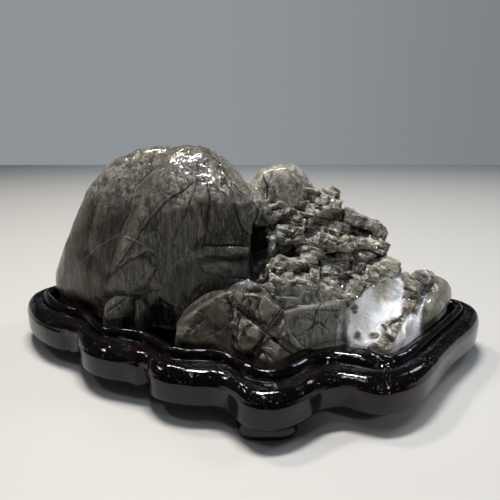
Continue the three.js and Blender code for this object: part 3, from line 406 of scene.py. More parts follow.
# Plates of broken rock as (height, outline in the picture): each stands out from what is under it.
PLATES = [
    (0.5, [(244, 190), (262, 168), (275, 165), (269, 182), (260, 203), (250, 199)]),
    (0.4, [(290, 163), (299, 170), (308, 188), (311, 212), (302, 208), (298, 186)]),
    (1.8, [(343, 213), (352, 211), (365, 218), (380, 229), (387, 234), (384, 238), (372, 236), (357, 228),
           (345, 222)]),
    (1.4, [(338, 243), (350, 238), (366, 240), (384, 240), (392, 246), (393, 256), (384, 257), (366, 252),
           (350, 252), (338, 251)]),
    (1.2, [(334, 256), (350, 253), (366, 254), (382, 259), (376, 266), (360, 272), (344, 274), (332, 268)]),
    (2.0, [(364, 278), (368, 270), (380, 263), (394, 260), (399, 266), (398, 275), (388, 279), (374, 284)]),
    (1.9, [(345, 301), (352, 290), (360, 279), (367, 278), (368, 286), (361, 295), (351, 305)]),
    (1.3, [(299, 258), (306, 255), (317, 257), (320, 262), (312, 266), (301, 264)]),
    (1.2, [(278, 247), (286, 240), (298, 237), (310, 242), (313, 252), (304, 255), (293, 252), (282, 256)]),
    (1.2, [(301, 214), (318, 212), (340, 218), (342, 231), (330, 238), (312, 236), (303, 228)]),
    (1.0, [(263, 272), (274, 262), (296, 261), (313, 269), (316, 280), (300, 285), (278, 281), (264, 279)]),
    (1.2, [(310, 190), (324, 187), (336, 193), (334, 203), (322, 206), (310, 202)]),
    (0.9, [(205, 248), (225, 247), (247, 249), (247, 256), (225, 256), (206, 255)]),
    (1.0, [(318, 208), (334, 203), (344, 212), (340, 216), (324, 213)]),
    (1.1, [(403, 275), (414, 272), (428, 272), (433, 276), (424, 290), (418, 300), (405, 298)]),
    (0.9, [(401, 301), (414, 300), (416, 308), (408, 314), (401, 312)]),
    (1.1, [(381, 322), (392, 317), (401, 318), (399, 330), (392, 340), (382, 338)]),
    (0.9, [(360, 347), (374, 341), (388, 342), (386, 352), (374, 358), (360, 355)]),
    (0.9, [(234, 293), (246, 288), (250, 300), (243, 312), (234, 305)]),
    (0.7, [(262, 296), (276, 306), (283, 312), (270, 326), (258, 318)]),
    (0.8, [(248, 318), (262, 328), (258, 342), (246, 338), (243, 326)]),
    (0.7, [(264, 336), (280, 348), (276, 362), (262, 350)]),
    (0.7, [(285, 312), (310, 306), (345, 300), (347, 345), (318, 352), (296, 350), (278, 334)]),
]


def on_the_rock(tree, strokes):
    """Walks along strokes drawn in the picture: the place on the rock under each step, the direction
    across the stroke there, how much it has faded towards its ends, and the stroke's sizes."""
    places, across, facts = [], [], []
    for stroke in strokes:
        *sizes, points = stroke
        line = np.array(points, float)
        lengths = np.hypot(*np.diff(line, axis=0).T)
        total = lengths.sum()
        along = np.concatenate([[0], np.cumsum(lengths)])
        steps = np.arange(0, total + STROKE_STEP, STROKE_STEP)
        x = np.interp(steps, along, line[:, 0])
        y = np.interp(steps, along, line[:, 1])
        start = np.stack([x, y, np.full_like(x, sum(points[0]))], 1)
        x, y = (axis + 0.9 * wave(start, 8.0, seed) + 0.5 * wave(start, 3.0, seed + 1)
                for axis, seed in ((x, 3), (y, 5)))
        walked = []
        for px, py, at in zip(x, y, steps):
            place = tree.ray_cast(Vector(EYE), sight_line(px, py))[0]
            if place is not None:
                walked.append((place, min(1.0, FADED_END + min(at, total - at) / FADE_LENGTH)))
        for n, (place, fade) in enumerate(walked):
            before, after = walked[max(n - 2, 0)][0], walked[min(n + 2, len(walked) - 1)][0]
            places.append(place)
            across.append((after - before).cross(place - Vector(EYE)).normalized())
            facts.append((fade, *sizes))
    return places, np.array(across), np.array(facts)


def nearest_stroke(points, strokes):
    """For each point, its distance from the nearest step of a stroke, on which side of it and how far
    it lies, and that step's fade and sizes."""
    places, across, facts = strokes
    tree = KDTree(len(places))
    for n, place in enumerate(places):
        tree.insert(place, n)
    tree.balance()
    distance = np.empty(len(points))
    index = np.empty(len(points), int)
    for n, p in enumerate(points):
        _, index[n], distance[n] = tree.find(p)
    side = np.einsum("ij,ij->i", points - np.array(places)[index], across[index])
    return distance, side, facts[index]


class Rock:
    """A rock surface as arrays in millimetres: its corners, its faces and its edges."""

    def __init__(self, mesh):
        count = len(mesh.vertices)
        flat = np.empty(count * 3)
        mesh.vertices.foreach_get("co", flat)
        self.points = flat.reshape(-1, 3) * PER_METRE
        mesh.calc_loop_triangles()
        corners = np.empty(len(mesh.loop_triangles) * 3, np.int64)
        mesh.loop_triangles.foreach_get("vertices", corners)
        self.faces = corners.reshape(-1, 3)
        edges = np.empty(len(mesh.edges) * 2, np.int64)
        mesh.edges.foreach_get("vertices", edges)
        self.edges = edges.reshape(-1, 2)
        self.degree = np.bincount(self.edges.ravel(), minlength=count).astype(float)

    def around(self, values):
        """The mean of each corner's neighbours, column by column."""
        a, b = self.edges.T
        total = np.zeros_like(values)
        for c in range(values.shape[1]):
            total[:, c] = np.bincount(a, values[b, c], len(values))
            total[:, c] += np.bincount(b, values[a, c], len(values))
        return total / np.maximum(self.degree[:, None], 1)

    def smooth(self, weight, rounds):
        for _ in range(rounds):
            self.points += weight[:, None] * (self.around(self.points) - self.points)

    def normals(self):
        a, b, c = (self.points[self.faces[:, i]] for i in range(3))
        face = np.cross(b - a, c - a)
        total = np.zeros_like(self.points)
        for i in range(3):
            for axis in range(3):
                total[:, axis] += np.bincount(self.faces[:, i], face[:, axis], len(self.points))
        return total / np.maximum(np.linalg.norm(total, axis=1), 1e-9)[:, None]

    def raised(self, height):
        self.points += height[:, None] * self.normals()

    def tree(self):
        return BVHTree.FromPolygons(self.points.tolist(), self.faces.tolist())

    def hollowness(self, rounds):
        """How far each corner lies below the mean of its surroundings, in millimetres."""
        mean = self.points.copy()
        for _ in range(rounds):
            mean = self.around(mean)
        return np.einsum("ij,ij->i", mean - self.points, self.normals())


def with_modifier(obj, kind, **settings):
    """The object's mesh with one modifier applied, as a new mesh."""
    modifier = obj.modifiers.new(kind.lower(), kind)
    for name, value in settings.items():
        setattr(modifier, name, value)
    graph = bpy.context.evaluated_depsgraph_get()
    made = bpy.data.meshes.new_from_object(obj.evaluated_get(graph), depsgraph=graph)
    obj.modifiers.remove(modifier)
    return made


# The rock's relief

# Heights above the table, in millimetres, between which the rock changes: where it leaves the stand's
# seat, and lower down in the bay before the dome, where it is polished, and where the dome's crown,
# its rubbed top, which the finish also paints paler as a painted sheen, and, downwards, its toes begin.
OUT_OF_SEAT = (22.0, 26.0)
OUT_OF_BAY = (16.4, 18.0)
POLISHED_FROM = (18.0, 25.0)
CROWN_FROM = (60.0, 76.0)
WEAR_AND_SHEEN_FROM = (62.0, 84.0)
TOES_BELOW = (36.0, 27.0)
# The bay's left and right sides, and the toes' left, in pixels of the picture.
BAY_LEFT = (100, 108)
BAY_RIGHT = (184, 178)
TOES_FROM = (148, 156)
# Depths, in millimetres, over which what is drawn in the picture ends: forms, plates and the bay.
FRONT_FACE = (20.0, 10.0)
PLATE_FACE = (40.0, 30.0)
BAY_FACE = (0.0, -6.0)

# Regions as (kind, outline, softness of its edge in pixels).
REGIONS = [
    ("shoulder", SHOULDER, 3), ("slab", SLAB, 3), ("peak", PEAK, 3), ("crag", CRAG, 3),
    ("brown", BROWN_BLOCKS, 3), ("buttress", BUTTRESS, 3), ("rib", RIB, 1.2), ("calcite", CALCITE, 2),
    ("streak", CALCITE_STREAK, 1.6), ("end", END_LUMP, 2), ("end_patch", END_PATCH, 2),
    ("wedge", WEDGE, 3), ("warm", WARM_BAND, 5), ("stain", OCHRE_STAIN, 3.5), ("vein", SMOOTH_VEIN, 2.5),
    ("sheen_band", SHEEN_BAND, 3),
]


def regions(points):
    """Share of each kind of rock at each point, from 0 to 1, with borders that wander a little."""
    seen = in_picture(points)
    for sway, size, seed in ((2.2, 6.0, 40), (0.9, 2.2, 42)):
        seen = seen + sway * np.stack([wave(points, size, seed), wave(points, size, seed + 1)], 1)
    share = {kind: patch(seen, outline, soft) for kind, outline, soft in REGIONS}
    share["knob"] = np.max([patch(seen, outline, 1.5) for outline in KNOBS], axis=0)
    white = np.maximum(share["calcite"], share["streak"]) * (1 - share["rib"])
    share["calcite"] = np.maximum(white, 0.8 * share["end_patch"]) * (1 - share["knob"])
    share["crag"] = share["crag"] * (1 - 0.9 * share["vein"])
    share["craggy"] = np.clip(share["crag"] + share["rib"], 0, 1)
    # The dome's top and the band on its right: glossier from wear, and painted paler as a painted sheen.
    top = ramp(points[:, 2], *WEAR_AND_SHEEN_FROM)
    share["worn"] = np.maximum(0.9 * (share["slab"] + share["shoulder"]) * top, 0.8 * share["sheen_band"])
    return share


# How far the ridge's crest may still rise above its line in the picture, in pixels.
CREST_LEFT = 0.7


def settle_ridge(rock):
    """Lowers the ridge before the dome to its line in the picture, so that the dome's foot shows, and
    leaves a rounded crest."""
    seen = in_picture(rock.points)
    line = np.array(RIDGE_LINE, float)
    above = np.interp(seen[:, 0], line[:, 0], line[:, 1]) - seen[:, 1]
    above[(seen[:, 0] < line[0, 0]) | (seen[:, 0] > line[-1, 0])] = 0
    above = np.maximum(above, 0)
    kept = CREST_LEFT * (1 - np.exp(-above / CREST_LEFT)) + 0.02 * above
    front = ramp(-rock.points[:, 1], 20.0, 25.0) * ramp(rock.points[:, 2], 22.0, 30.0)
    pixel = (rock.points[:, 1] - EYE[1]) / FOCAL
    rock.points[:, 2] -= front * (above - kept) * pixel


# The direction through the beds of the broken slope.
BEDDING = np.array([0.30, 0.12, 0.95])
# The slope's thick and thin beds as (thickness and length in millimetres, depth of the crevice).
BEDS = ((6.2, 24.0, 0.5), (2.3, 13.0, 0.25))


def bedded(p):
    """Places measured along the beds of the broken slope and through them."""
    through = p @ BEDDING + 3.0 * wave(p, 30.0, 44) + 1.6 * wave(p, 14.0, 46) + 0.5 * wave(p, 5.0, 47)
    return np.stack([p[:, 0] - 0.3 * p[:, 2], p[:, 1], through], 1)


def flakes(p):
    """The relief of flaky beds: sharp crests that run along them, in millimetres."""
    beds = bedded(p) / np.array([1, 1, 0.3])
    _, value, tilt = shards(beds, 16.0, 79)
    height = 0.5 * (value - 0.5) + 0.6 * tilt
    height += 1.8 * (ridged(beds, 8.0, 3, 21, np.eye(3)) - 0.55)
    height += 0.8 * (ridged(beds, 2.6, 2, 24, np.eye(3)) - 0.5)
    return height + 0.8 * (ridged(p, 7.0, 3, 31) - 0.6)


def break_in_layers(rock, share):
    """Breaks a slope into low steps, thick beds first and thin ones in them, with a crevice under each."""
    for thickness, size, crevice in BEDS:
        p = rock.points
        _, value, _ = shards(p * np.array([1, 1, 0.35]), size, int(10 * thickness))
        level = bedded(p)[:, 2] / thickness + 0.5 * value + 0.35 * wave(p, size, 52)
        t = level - np.floor(level)
        # Each bed rises over the middle half of its thickness.
        step = np.clip((t - 0.25) / 0.5, 0, 1)
        foot = (t - 0.25) * thickness
        broken = ramp(wave(p, 11.0, 48), -0.5, 0.4)
        rock.raised(-share * crevice * (0.2 + 0.8 * broken) * np.exp(-(foot / 0.32) ** 2))
        rock.points += (share * (0.35 + 0.65 * broken) * thickness * (step - t))[:, None] * BEDDING


# How far from its middle a facet may reach, in millimetres.
FACET_REACH = 30


def flatten(rock, share, soft, outline):
    """Brings the rock inside an outline towards the plane that fits it best, where it faces the camera."""
    towards = EYE - rock.points
    towards /= np.linalg.norm(towards, axis=1)[:, None]
    weight = patch(in_picture(rock.points), outline, soft)
    weight *= ramp(np.einsum("ij,ij->i", rock.normals(), towards), 0.05, 0.25)
    chosen = rock.points[weight > 0.5]
    middle = np.median(chosen, axis=0)
    chosen = chosen[np.linalg.norm(chosen - middle, axis=1) < FACET_REACH]
    middle = chosen.mean(0)
    plane = np.linalg.svd(chosen - middle, full_matrices=False)[2][2]
    off = (rock.points - middle) @ plane
    away = np.linalg.norm(rock.points - middle, axis=1)
    weight *= ramp(np.abs(off), 6.0, 4.0) * ramp(away, FACET_REACH + 4, FACET_REACH)
    rock.points -= (share * weight * off)[:, None] * plane


def wear_smooth(rock, kinds):
    """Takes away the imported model's flat triangles, and wears the dome far smoother than the crag."""
    polished = np.clip(kinds["slab"] + kinds["shoulder"] + kinds["wedge"] + 0.7 * kinds["end"], 0, 1)
    polished *= ramp(rock.points[:, 2], *POLISHED_FROM)
    whole = (1 - 0.97 * kinds["craggy"]) * (1 - 0.7 * kinds["brown"]) * (1 - 0.6 * kinds["buttress"])
    rock.smooth(0.5 * whole, 10)
    rock.smooth(0.5 * polished, 45)


def above_the_seat(p, seen):
    """1 where the rock is free of the stand, 0 where it sits in the pocket: lower down in the bay."""
    free = ramp(p[:, 2], *OUT_OF_SEAT)
    bay = ramp(seen[:, 0], *BAY_LEFT) * ramp(seen[:, 0], *BAY_RIGHT) * ramp(p[:, 1], *BAY_FACE)
    return np.maximum(free, bay * ramp(p[:, 2], *OUT_OF_BAY))


def relief(p, seen, kinds):
    """How far the surface stands out at each point, in millimetres, added up kind by kind. Each term
    is two factors, as a rule where a relief shows, from 0 to 1, and its height there."""
    front, plate_front = ramp(p[:, 1], *FRONT_FACE), ramp(p[:, 1], *PLATE_FACE)
    level = np.zeros(len(p))
    # Places whose grain is drawn out down the dome, and aslant over the buttress.
    drawn = p * np.array([1, 1, 0.12]) + np.stack([0.12 * p[:, 2], level, level], 1)
    slanted = p @ TURNED * np.array([1, 0.16, 1])
    crown = (kinds["slab"] + kinds["shoulder"]) * ramp(p[:, 2], *CROWN_FROM)
    toes = kinds["slab"] * ramp(p[:, 2], *TOES_BELOW) * ramp(seen[:, 0], *TOES_FROM)
    flaked = flakes(p)
    terms = [
        (1, 0.14 * rough(p, 12.0, 3, 1) + 0.05 * rough(p, 2.4, 3, 5)),
        (kinds["shoulder"], 0.2 * wave(drawn, 5.0, 11) + 0.2 * ridged(drawn, 2.8, 2, 12)),
        (kinds["slab"], 0.5 * ridged(drawn, 2.6, 3, 13) + 0.4 * wave(drawn, 6.0, 14) - 0.2),
        (0.8 * patch(seen, SLAB, 0.7), front),
        (crown, 0.25 * ridged(p, 2.2, 2, 17) + 0.35 * ridged(drawn, 3.0, 3, 18) - 0.3),
        (toes, 2.2 * (ridged(p, 8.0, 3, 22) - 0.6) + 0.5 * wave(drawn, 3.0, 23)),
        (kinds["peak"], 0.15 * wave(drawn, 3.0, 19) + 0.15 * ridged(p, 2.4, 2, 20)),
        (kinds["wedge"], 0.35 * rough(p, 6.0, 3, 27) + 0.2 * ridged(p, 2.4, 2, 28)),
        (1, kinds["crag"] * flaked + 0.8 * kinds["rib"] * flaked),
    ]
    terms += [(rise * patch(seen, outline, 1.0), plate_front) for rise, outline in PLATES]
    terms += [(rise * patch(seen, outline, 2.6), front) for rise, outline in LUMPS + HOLLOWS]
    gap, value, tilt = shards(p + 0.8 * rough(p, 6.0, 2, 34)[:, None], 8.0, 81)
    terms += [
        (kinds["brown"], 0.4 * (value - 0.5) + 0.4 * tilt - 0.2 * np.exp(-(gap / 0.05) ** 2)),
        (kinds["buttress"], 0.10 * wave(slanted, 1.3, 39) + 0.10 * rough(p, 5.0, 3, 45)),
        (kinds["calcite"], 0.35 * rough(p, 5.0, 3, 47) + 0.1 * wave(p, 1.0, 49) - 0.4),
        (kinds["knob"], 0.9 * ridged(p, 1.6, 2, 51) - 0.2),
    ]
    return sum(share * height for share, height in terms)


def cut_cracks(rock, slab, free):
    """Cuts the cracks as round grooves, a little shallower on the dome's slab and far more so in the seat."""
    distance, _, facts = nearest_stroke(rock.points, on_the_rock(rock.tree(), CRACKS))
    fade, width, depth = facts.T
    groove = (0.6 - 0.1 * slab) * depth * fade * np.exp(-(distance / (0.34 * width)) ** 2)
    rock.raised(-groove * (0.2 + 0.8 * free))


def carve(rock):
    settle_ridge(rock)
    kinds = regions(rock.points)
    wear_smooth(rock, kinds)
    for facet in FACETS:
        flatten(rock, *facet)
    p = rock.points
    seen = in_picture(p) + 0.7 * np.stack([wave(p, 4.0, 61), wave(p, 4.0, 62)], 1)
    free = above_the_seat(p, seen)
    rock.raised(relief(p, seen, kinds) * (0.15 + 0.85 * free))
    break_in_layers(rock, kinds["craggy"] * free)
    cut_cracks(rock, kinds["slab"], free)


def mark(mesh):
    """Writes the masks that the rock's finish reads: minerals, cracks, hollows and kinds."""
    rock = Rock(mesh)
    kinds = regions(rock.points)
    seen = in_picture(rock.points)
    tree = rock.tree()
    distance, _, facts = nearest_stroke(rock.points, on_the_rock(tree, VEINS))
    quartz = ramp(distance, 1.25 * facts[:, 1], 0.45 * facts[:, 1])
    bluish = 0.75 * patch(seen, BLUISH_FOOT, 5) * kinds["slab"]
    brown = np.clip(kinds["brown"] + kinds["warm"] + kinds["knob"] + 0.7 * kinds["wedge"], 0, 1)
    masks = {
        "quartz": np.max([quartz, kinds["end_patch"], bluish], axis=0),
        "pale": patch(seen, PALE_LIT_CRAG_TOP, 4),
        "hollow": ramp(rock.hollowness(6), -0.5, 0.5),
        "brown": brown,
        "drawn": kinds["slab"] + kinds["shoulder"],
        "blocky": kinds["buttress"] + brown,
    }
    for kind in ("calcite", "stain", "worn", "craggy", "shoulder", "slab", "buttress", "peak"):
        masks[kind] = kinds[kind]
    for name, strokes in (("crack", CRACKS), ("thread", THREADS_AND_HIGHLIGHTS)):
        distance, side, facts = nearest_stroke(rock.points, on_the_rock(tree, strokes))
        masks[name] = facts[:, 0] * ramp(distance, 1.6, 0.8)
        masks[name + "_side"] = side / facts[:, 1]
    for name, values in masks.items():
        mesh.attributes.new(name, "FLOAT", "POINT").data.foreach_set("value", values.astype(np.float32))
    mesh.shade_smooth()
    mesh.set_sharp_from_angle(angle=BROKEN_EDGE)


def make_stone():
    source = link("rough_rock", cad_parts["stone"].data.copy())
    source.data.materials.clear()
    grain = FINE_GRAIN
    fine = with_modifier(source, "REMESH", mode="VOXEL", voxel_size=grain * MM)
    bpy.data.objects.remove(source)
    rock = Rock(fine)
    carve(rock)
    base, top = CAD_STONE_LOW[2] / MM, CAD_STONE_HIGH[2] / MM - TOP_MARGIN
    z = rock.points[:, 2]
    z[:] = base + (z - z.min()) * min(1.0, (top - base) / (z.max() - z.min()))
    fine.vertices.foreach_set("co", (rock.points * MM).ravel())
    fine.update()
    block = link("fine_rock", fine)
    mesh = with_modifier(block, "DECIMATE", ratio=min(1.0, STONE_TRIANGLES / len(rock.faces)))
    bpy.data.objects.remove(block)
    mark(mesh)
    return link("viewing_stone", mesh)


# Finishes

def linear(colour):
    """A colour given as sRGB hex, turned to linear light."""
    parts = [int(colour[i:i + 2], 16) / 255 for i in (1, 3, 5)]
    return [c / 12.92 if c <= 0.04045 else ((c + 0.055) / 1.055) ** 2.4 for c in parts] + [1.0]


def add(tree, kind, inputs=None, **settings):
    """Adds a node, with its settings, and the values of its inputs or what they are linked to."""
    made = tree.nodes.new(kind)
    for name, value in settings.items():
        setattr(made, name, value)
    for name, value in (inputs or {}).items():
        if isinstance(value, bpy.types.NodeSocket):
            tree.links.new(value, made.inputs[name])
        else:
            made.inputs[name].default_value = value
    return made


def start_finish(name):
    """A new finish, its empty node tree, and the place on the object that its patterns follow."""
    finish = bpy.data.materials.new(name)
    finish.use_nodes = True
    tree = finish.node_tree
    tree.nodes.clear()
    return finish, tree, add(tree, "ShaderNodeTexCoord").outputs["Object"]


def grains(tree, where, table, distortion=0.0):
    """Patterns of chance as named in a table of grain in millimetres, detail, roughness, stretch, and
    the part of the range that is drawn from 0 to 1, or None for all of it."""
    made = {}
    for name, (size, detail, roughness, stretch, drawn) in table.items():
        moved = add(tree, "ShaderNodeMapping", {"Vector": where, "Scale": stretch}).outputs[0]
        made[name] = add(tree, "ShaderNodeTexNoise", {
            "Vector": moved, "Scale": PER_METRE / size, "Detail": detail, "Roughness": roughness,
            "Distortion": distortion,
        }).outputs["Fac"]
        if drawn:
            made[name] = add(tree, "ShaderNodeMapRange", {
                "Value": made[name], "From Min": drawn[0], "From Max": drawn[1],
            }, interpolation_type="SMOOTHSTEP").outputs[0]
    return made


def share_of(tree, mask, names, strength):
    """The product of a strength and the named masks."""
    for name in names.split():
        strength = add(tree, "ShaderNodeMath", {0: mask[name], 1: strength}, operation="MULTIPLY").outputs[0]
    return strength


def added_up(tree, mask, start, terms):
    """A start value and what each term adds to it: the named masks times a strength."""
    for names, strength in terms:
        start = add(tree, "ShaderNodeMath", {0: share_of(tree, mask, names, strength), 1: start},
                    operation="ADD").outputs[0]
    return start


def painted(tree, mask, coats):
    """The colour of coats laid over a first colour. A coat is the masks that show it, its strength,
    and its own colour or coats."""
    colour = linear(coats[0])
    for names, strength, paint in coats[1:]:
        paint = linear(paint) if isinstance(paint, str) else painted(tree, mask, paint)
        colour = add(tree, "ShaderNodeMix", {
            "Factor": share_of(tree, mask, names, strength), 6: colour, 7: paint,
        }, data_type="RGBA").outputs[2]
    return colour


def end_finish(tree, surface):
    """Ends a finish with what its surface is made of."""
    shader = add(tree, "ShaderNodeBsdfPrincipled", surface)
    add(tree, "ShaderNodeOutputMaterial", {"Surface": shader.outputs[0]})


EVEN = (1, 1, 1)
# The rock's grains, from the sizes of its clouds of colour, its mottling and its crystals. Real
# crystals and pores are a few tenths of a millimetre wide and would not show, so fine, pits and tooth
# are drawn about three times as coarse. Those stretched in z are drawn out down the rock. A field is
# only the ground for lines of its middle value.
ROCK_GRAINS = {
    "clouds": (22, 4, 0.6, EVEN, (0.35, 0.65)),
    "mottle": (4.5, 4, 0.6, EVEN, (0.38, 0.66)),
    "fine": (0.9, 3, 0.6, EVEN, (0.3, 0.7)),
    "pits": (1.1, 3, 0.8, EVEN, (0.56, 0.68)),
    "streaks": (1.5, 5, 0.75, (1, 1, 0.10), (0.40, 0.60)),
    "bands": (3.6, 4, 0.6, (1, 1, 0.12), (0.42, 0.6)),
    "pale_streaks": (1.0, 4, 0.8, (1, 1, 0.16), (0.55, 0.64)),
    "hatch": (1.4, 4, 0.7, (0.8, 0.5, 0.12), (0.4, 0.65)),
    "worn_spots": (5.0, 4, 0.6, EVEN, (0.34, 0.58)),
    "glint_spots": (8.0, 4, 0.6, EVEN, (0.44, 0.56)),
    "ochre_spots": (7.0, 4, 0.6, EVEN, (0.5, 0.68)),
    "slate_spots": (9.0, 4, 0.6, EVEN, (0.5, 0.62)),
    "quartz_clouds": (2.5, 4, 0.6, EVEN, (0.35, 0.65)),
    "quartz_spots": (3.0, 4, 0.6, EVEN, (0.22, 0.45)),
    "white_clouds": (6.0, 4, 0.6, EVEN, (0.4, 0.62)),
    "cream_spots": (9.0, 4, 0.6, EVEN, (0.58, 0.7)),
    "stain_spots": (2.6, 5, 0.7, EVEN, (0.32, 0.54)),
    "thread_spots": (4.0, 3, 0.6, EVEN, (0.32, 0.5)),
    "scratch_spots": (7.0, 4, 0.6, EVEN, (0.46, 0.6)),
    "dark_scratch_spots": (10.0, 4, 0.6, EVEN, (0.46, 0.6)),
    "net_spots": (13.0, 4, 0.6, EVEN, (0.46, 0.6)),
    "unevenness": (3.0, 4, 0.6, EVEN, (0.4, 0.7)),
    "tooth": (0.8, 5, 0.7, EVEN, None),
    "swell": (2.2, 4, 0.6, EVEN, None),
    "drawn_tooth": (1.1, 4, 0.7, (1, 1, 0.1), None),
    "wrinkles": (1.3, 4, 0.7, (1, 1, 0.4), None),
    "fibre_field": (3.4, 3, 0.6, (1, 1, 0.13), None),
    "painted_glint_field": (2.6, 3, 0.6, (1, 1, 0.2), None),
}
# The same, drawn out along the beds of the broken slope and warped a little.
BED_GRAINS = {
    "flaky": (1.3, 4, 0.7, EVEN, (0.48, 0.6)),
    "seam_field": (3.2, 5, 0.6, EVEN, None),
}
BED_TILT = math.radians(17)
BED_STRETCH = (4.5, 4.5, 0.85)
BED_WARP = 0.6
# Nets of nearly straight scratches as (size of their meshes in millimetres, which net of chance),
# and how far their lines sway, in metres.
NETS = {"scratch": (14.0, 1), "dark_scratch": (17.0, 4), "net": (7.5, 7)}
NET_SWAY = 0.004
# Lines as (half width in the measure of their own field, the share of it that is drawn in full).
LINES = {
    "fibres": (0.022, 0.3), "glints": (0.014, 0.3), "seams": (0.02, 0.3),
    "scratch": (0.018, 0.2), "dark_scratch": (0.02, 0.2), "net": (0.035, 0.2),
    "crack_line": (0.5, 0.45), "thread_line": (1.0, 0.45),
}
# The rock's colours from the ground up, as the function painted takes them.
ROCK_COATS = [
    "#33322b",
    ("clouds", 1, "#747060"),
    ("mottle", 0.5, "#857e6b"),
    ("bands slab", 0.8, "#928c74"),
    ("streaks slab", 0.9, "#0e0e0b"),
    ("fibres drawn", 0.8, "#0b0a08"),
    ("pale_streaks", 0.6, "#7d796b"),
    # Painted highlights: pale dashes drawn down the dome's grain where the lamps would glint.
    ("glints glint_spots drawn", 0.85, "#c4c0b0"),
    ("shoulder", 0.9, ["#84725f", ("streaks", 1, "#413529")]),
    # Painted sheen: the dome's top and the band on its right are painted paler, as if lit from above.
    ("worn worn_spots", 1, ["#dfd9c6", ("streaks", 1, "#6b6558")]),
    ("brown", 0.6, ["#463a2e", ("mottle", 1, "#7a674f")]),
    ("buttress", 0.85, ["#8d8b7d", ("hatch", 1, "#56564d")]),
    ("net net_spots blocky", 0.85, "#100f0c"),
    ("craggy", 1, [
        "#989284", ("mottle", 1, "#e2dac6"), ("flaky", 0.6, "#5a554c"), ("ochre_spots", 0.5, "#a08c66"),
        ("slate_spots", 0.6, "#787d82"),
    ]),
    ("peak", 0.9, ["#a0957f", ("mottle", 1, "#ebe1cb"), ("streaks", 0.7, "#37322b")]),
    # The crag's top: paler stone, and painted light from above.
    ("pale", 0.85, ["#c8c2ac", ("mottle", 1, "#f4eed9")]),
    ("seams craggy", 0.85, "#191713"),
    ("scratch scratch_spots", 0.3, "#8f8b7e"),
    ("dark_scratch dark_scratch_spots", 0.5, "#1a1916"),
    ("fine", 0.35, "#1e1d18"),
    ("pits", 0.5, "#12110e"),
    ("raised", 0.3, "#aba48f"),
    ("quartz quartz_spots", 1, ["#7b8183", ("quartz_clouds", 1, "#b9bfc1")]),
    ("calcite", 1, [
        "#fcfcfb", ("white_clouds", 1, "#e6e9ec"), ("cream_spots", 0.4, "#e0d3bb"),
        ("stain stain_spots", 0.6, "#b29a68"),
    ]),
    # Painted shade: darker in the rock's hollows, except on the calcite.
    ("sunken not_white", 0.75, "#0f0d0b"),
    ("crack_line crack", 0.95, "#090806"),
    # Pale threads of quartz, and painted highlights along the cracks' edges.
    ("thread_line thread thread_spots", 0.9, "#c9c6ba"),
]
# What makes the wax duller or glossier, and what the fingers would feel, as added_up takes them.
ROCK_GLOSS = [("fine", 0.12), ("mottle", 0.12), ("craggy", 0.25), ("worn", -0.15)]
ROCK_TOUCH = [
    ("tooth", 1), ("swell", 1.6), ("drawn_tooth drawn", 3.4), ("fibres drawn", -1.1),
    ("streaks drawn", -0.88), ("wrinkles worn", 3), ("net net_spots blocky", -1.2), ("pits", -0.5),
    ("flaky craggy", -0.9), ("seams craggy", -0.9), ("scratch scratch_spots", -0.9),
    ("dark_scratch dark_scratch_spots", -0.9), ("crack_line crack", -0.9),
]


def distances_from_lines(tree, where, mask):
    """How far each point is from the middle of the lines of each kind."""
    far = {}
    for name, field in (("fibres", "fibre_field"), ("glints", "painted_glint_field"), ("seams", "seam_field")):
        off = add(tree, "ShaderNodeMath", {0: mask[field], 1: 0.5}, operation="SUBTRACT").outputs[0]
        far[name] = add(tree, "ShaderNodeMath", {0: off}, operation="ABSOLUTE").outputs[0]
    sway = add(tree, "ShaderNodeTexNoise", {"Vector": where, "Scale": 200.0}).outputs["Color"]
    bent = add(tree, "ShaderNodeVectorMath", {0: sway, 1: [NET_SWAY] * 3, 2: where},
               operation="MULTIPLY_ADD").outputs[0]
    for name, (size, which) in NETS.items():
        moved = add(tree, "ShaderNodeMapping", {
            "Vector": bent, "Location": (0.1 * which, 0.2 * which, 0), "Scale": (1, 1, 0.6),
        }).outputs[0]
        far[name] = add(tree, "ShaderNodeTexVoronoi", {"Vector": moved, "Scale": PER_METRE / size},
                        feature="DISTANCE_TO_EDGE").outputs["Distance"]
    for name in ("crack", "thread"):
        off = add(tree, "ShaderNodeMath", {0: mask[name + "_side"]}, operation="ABSOLUTE").outputs[0]
        half_width = LINES[name + "_line"][0]
        terms = [("off", 1), ("unevenness", 0.5 * half_width)]
        far[name + "_line"] = added_up(tree, mask | {"off": off}, 0.0, terms)
    return far


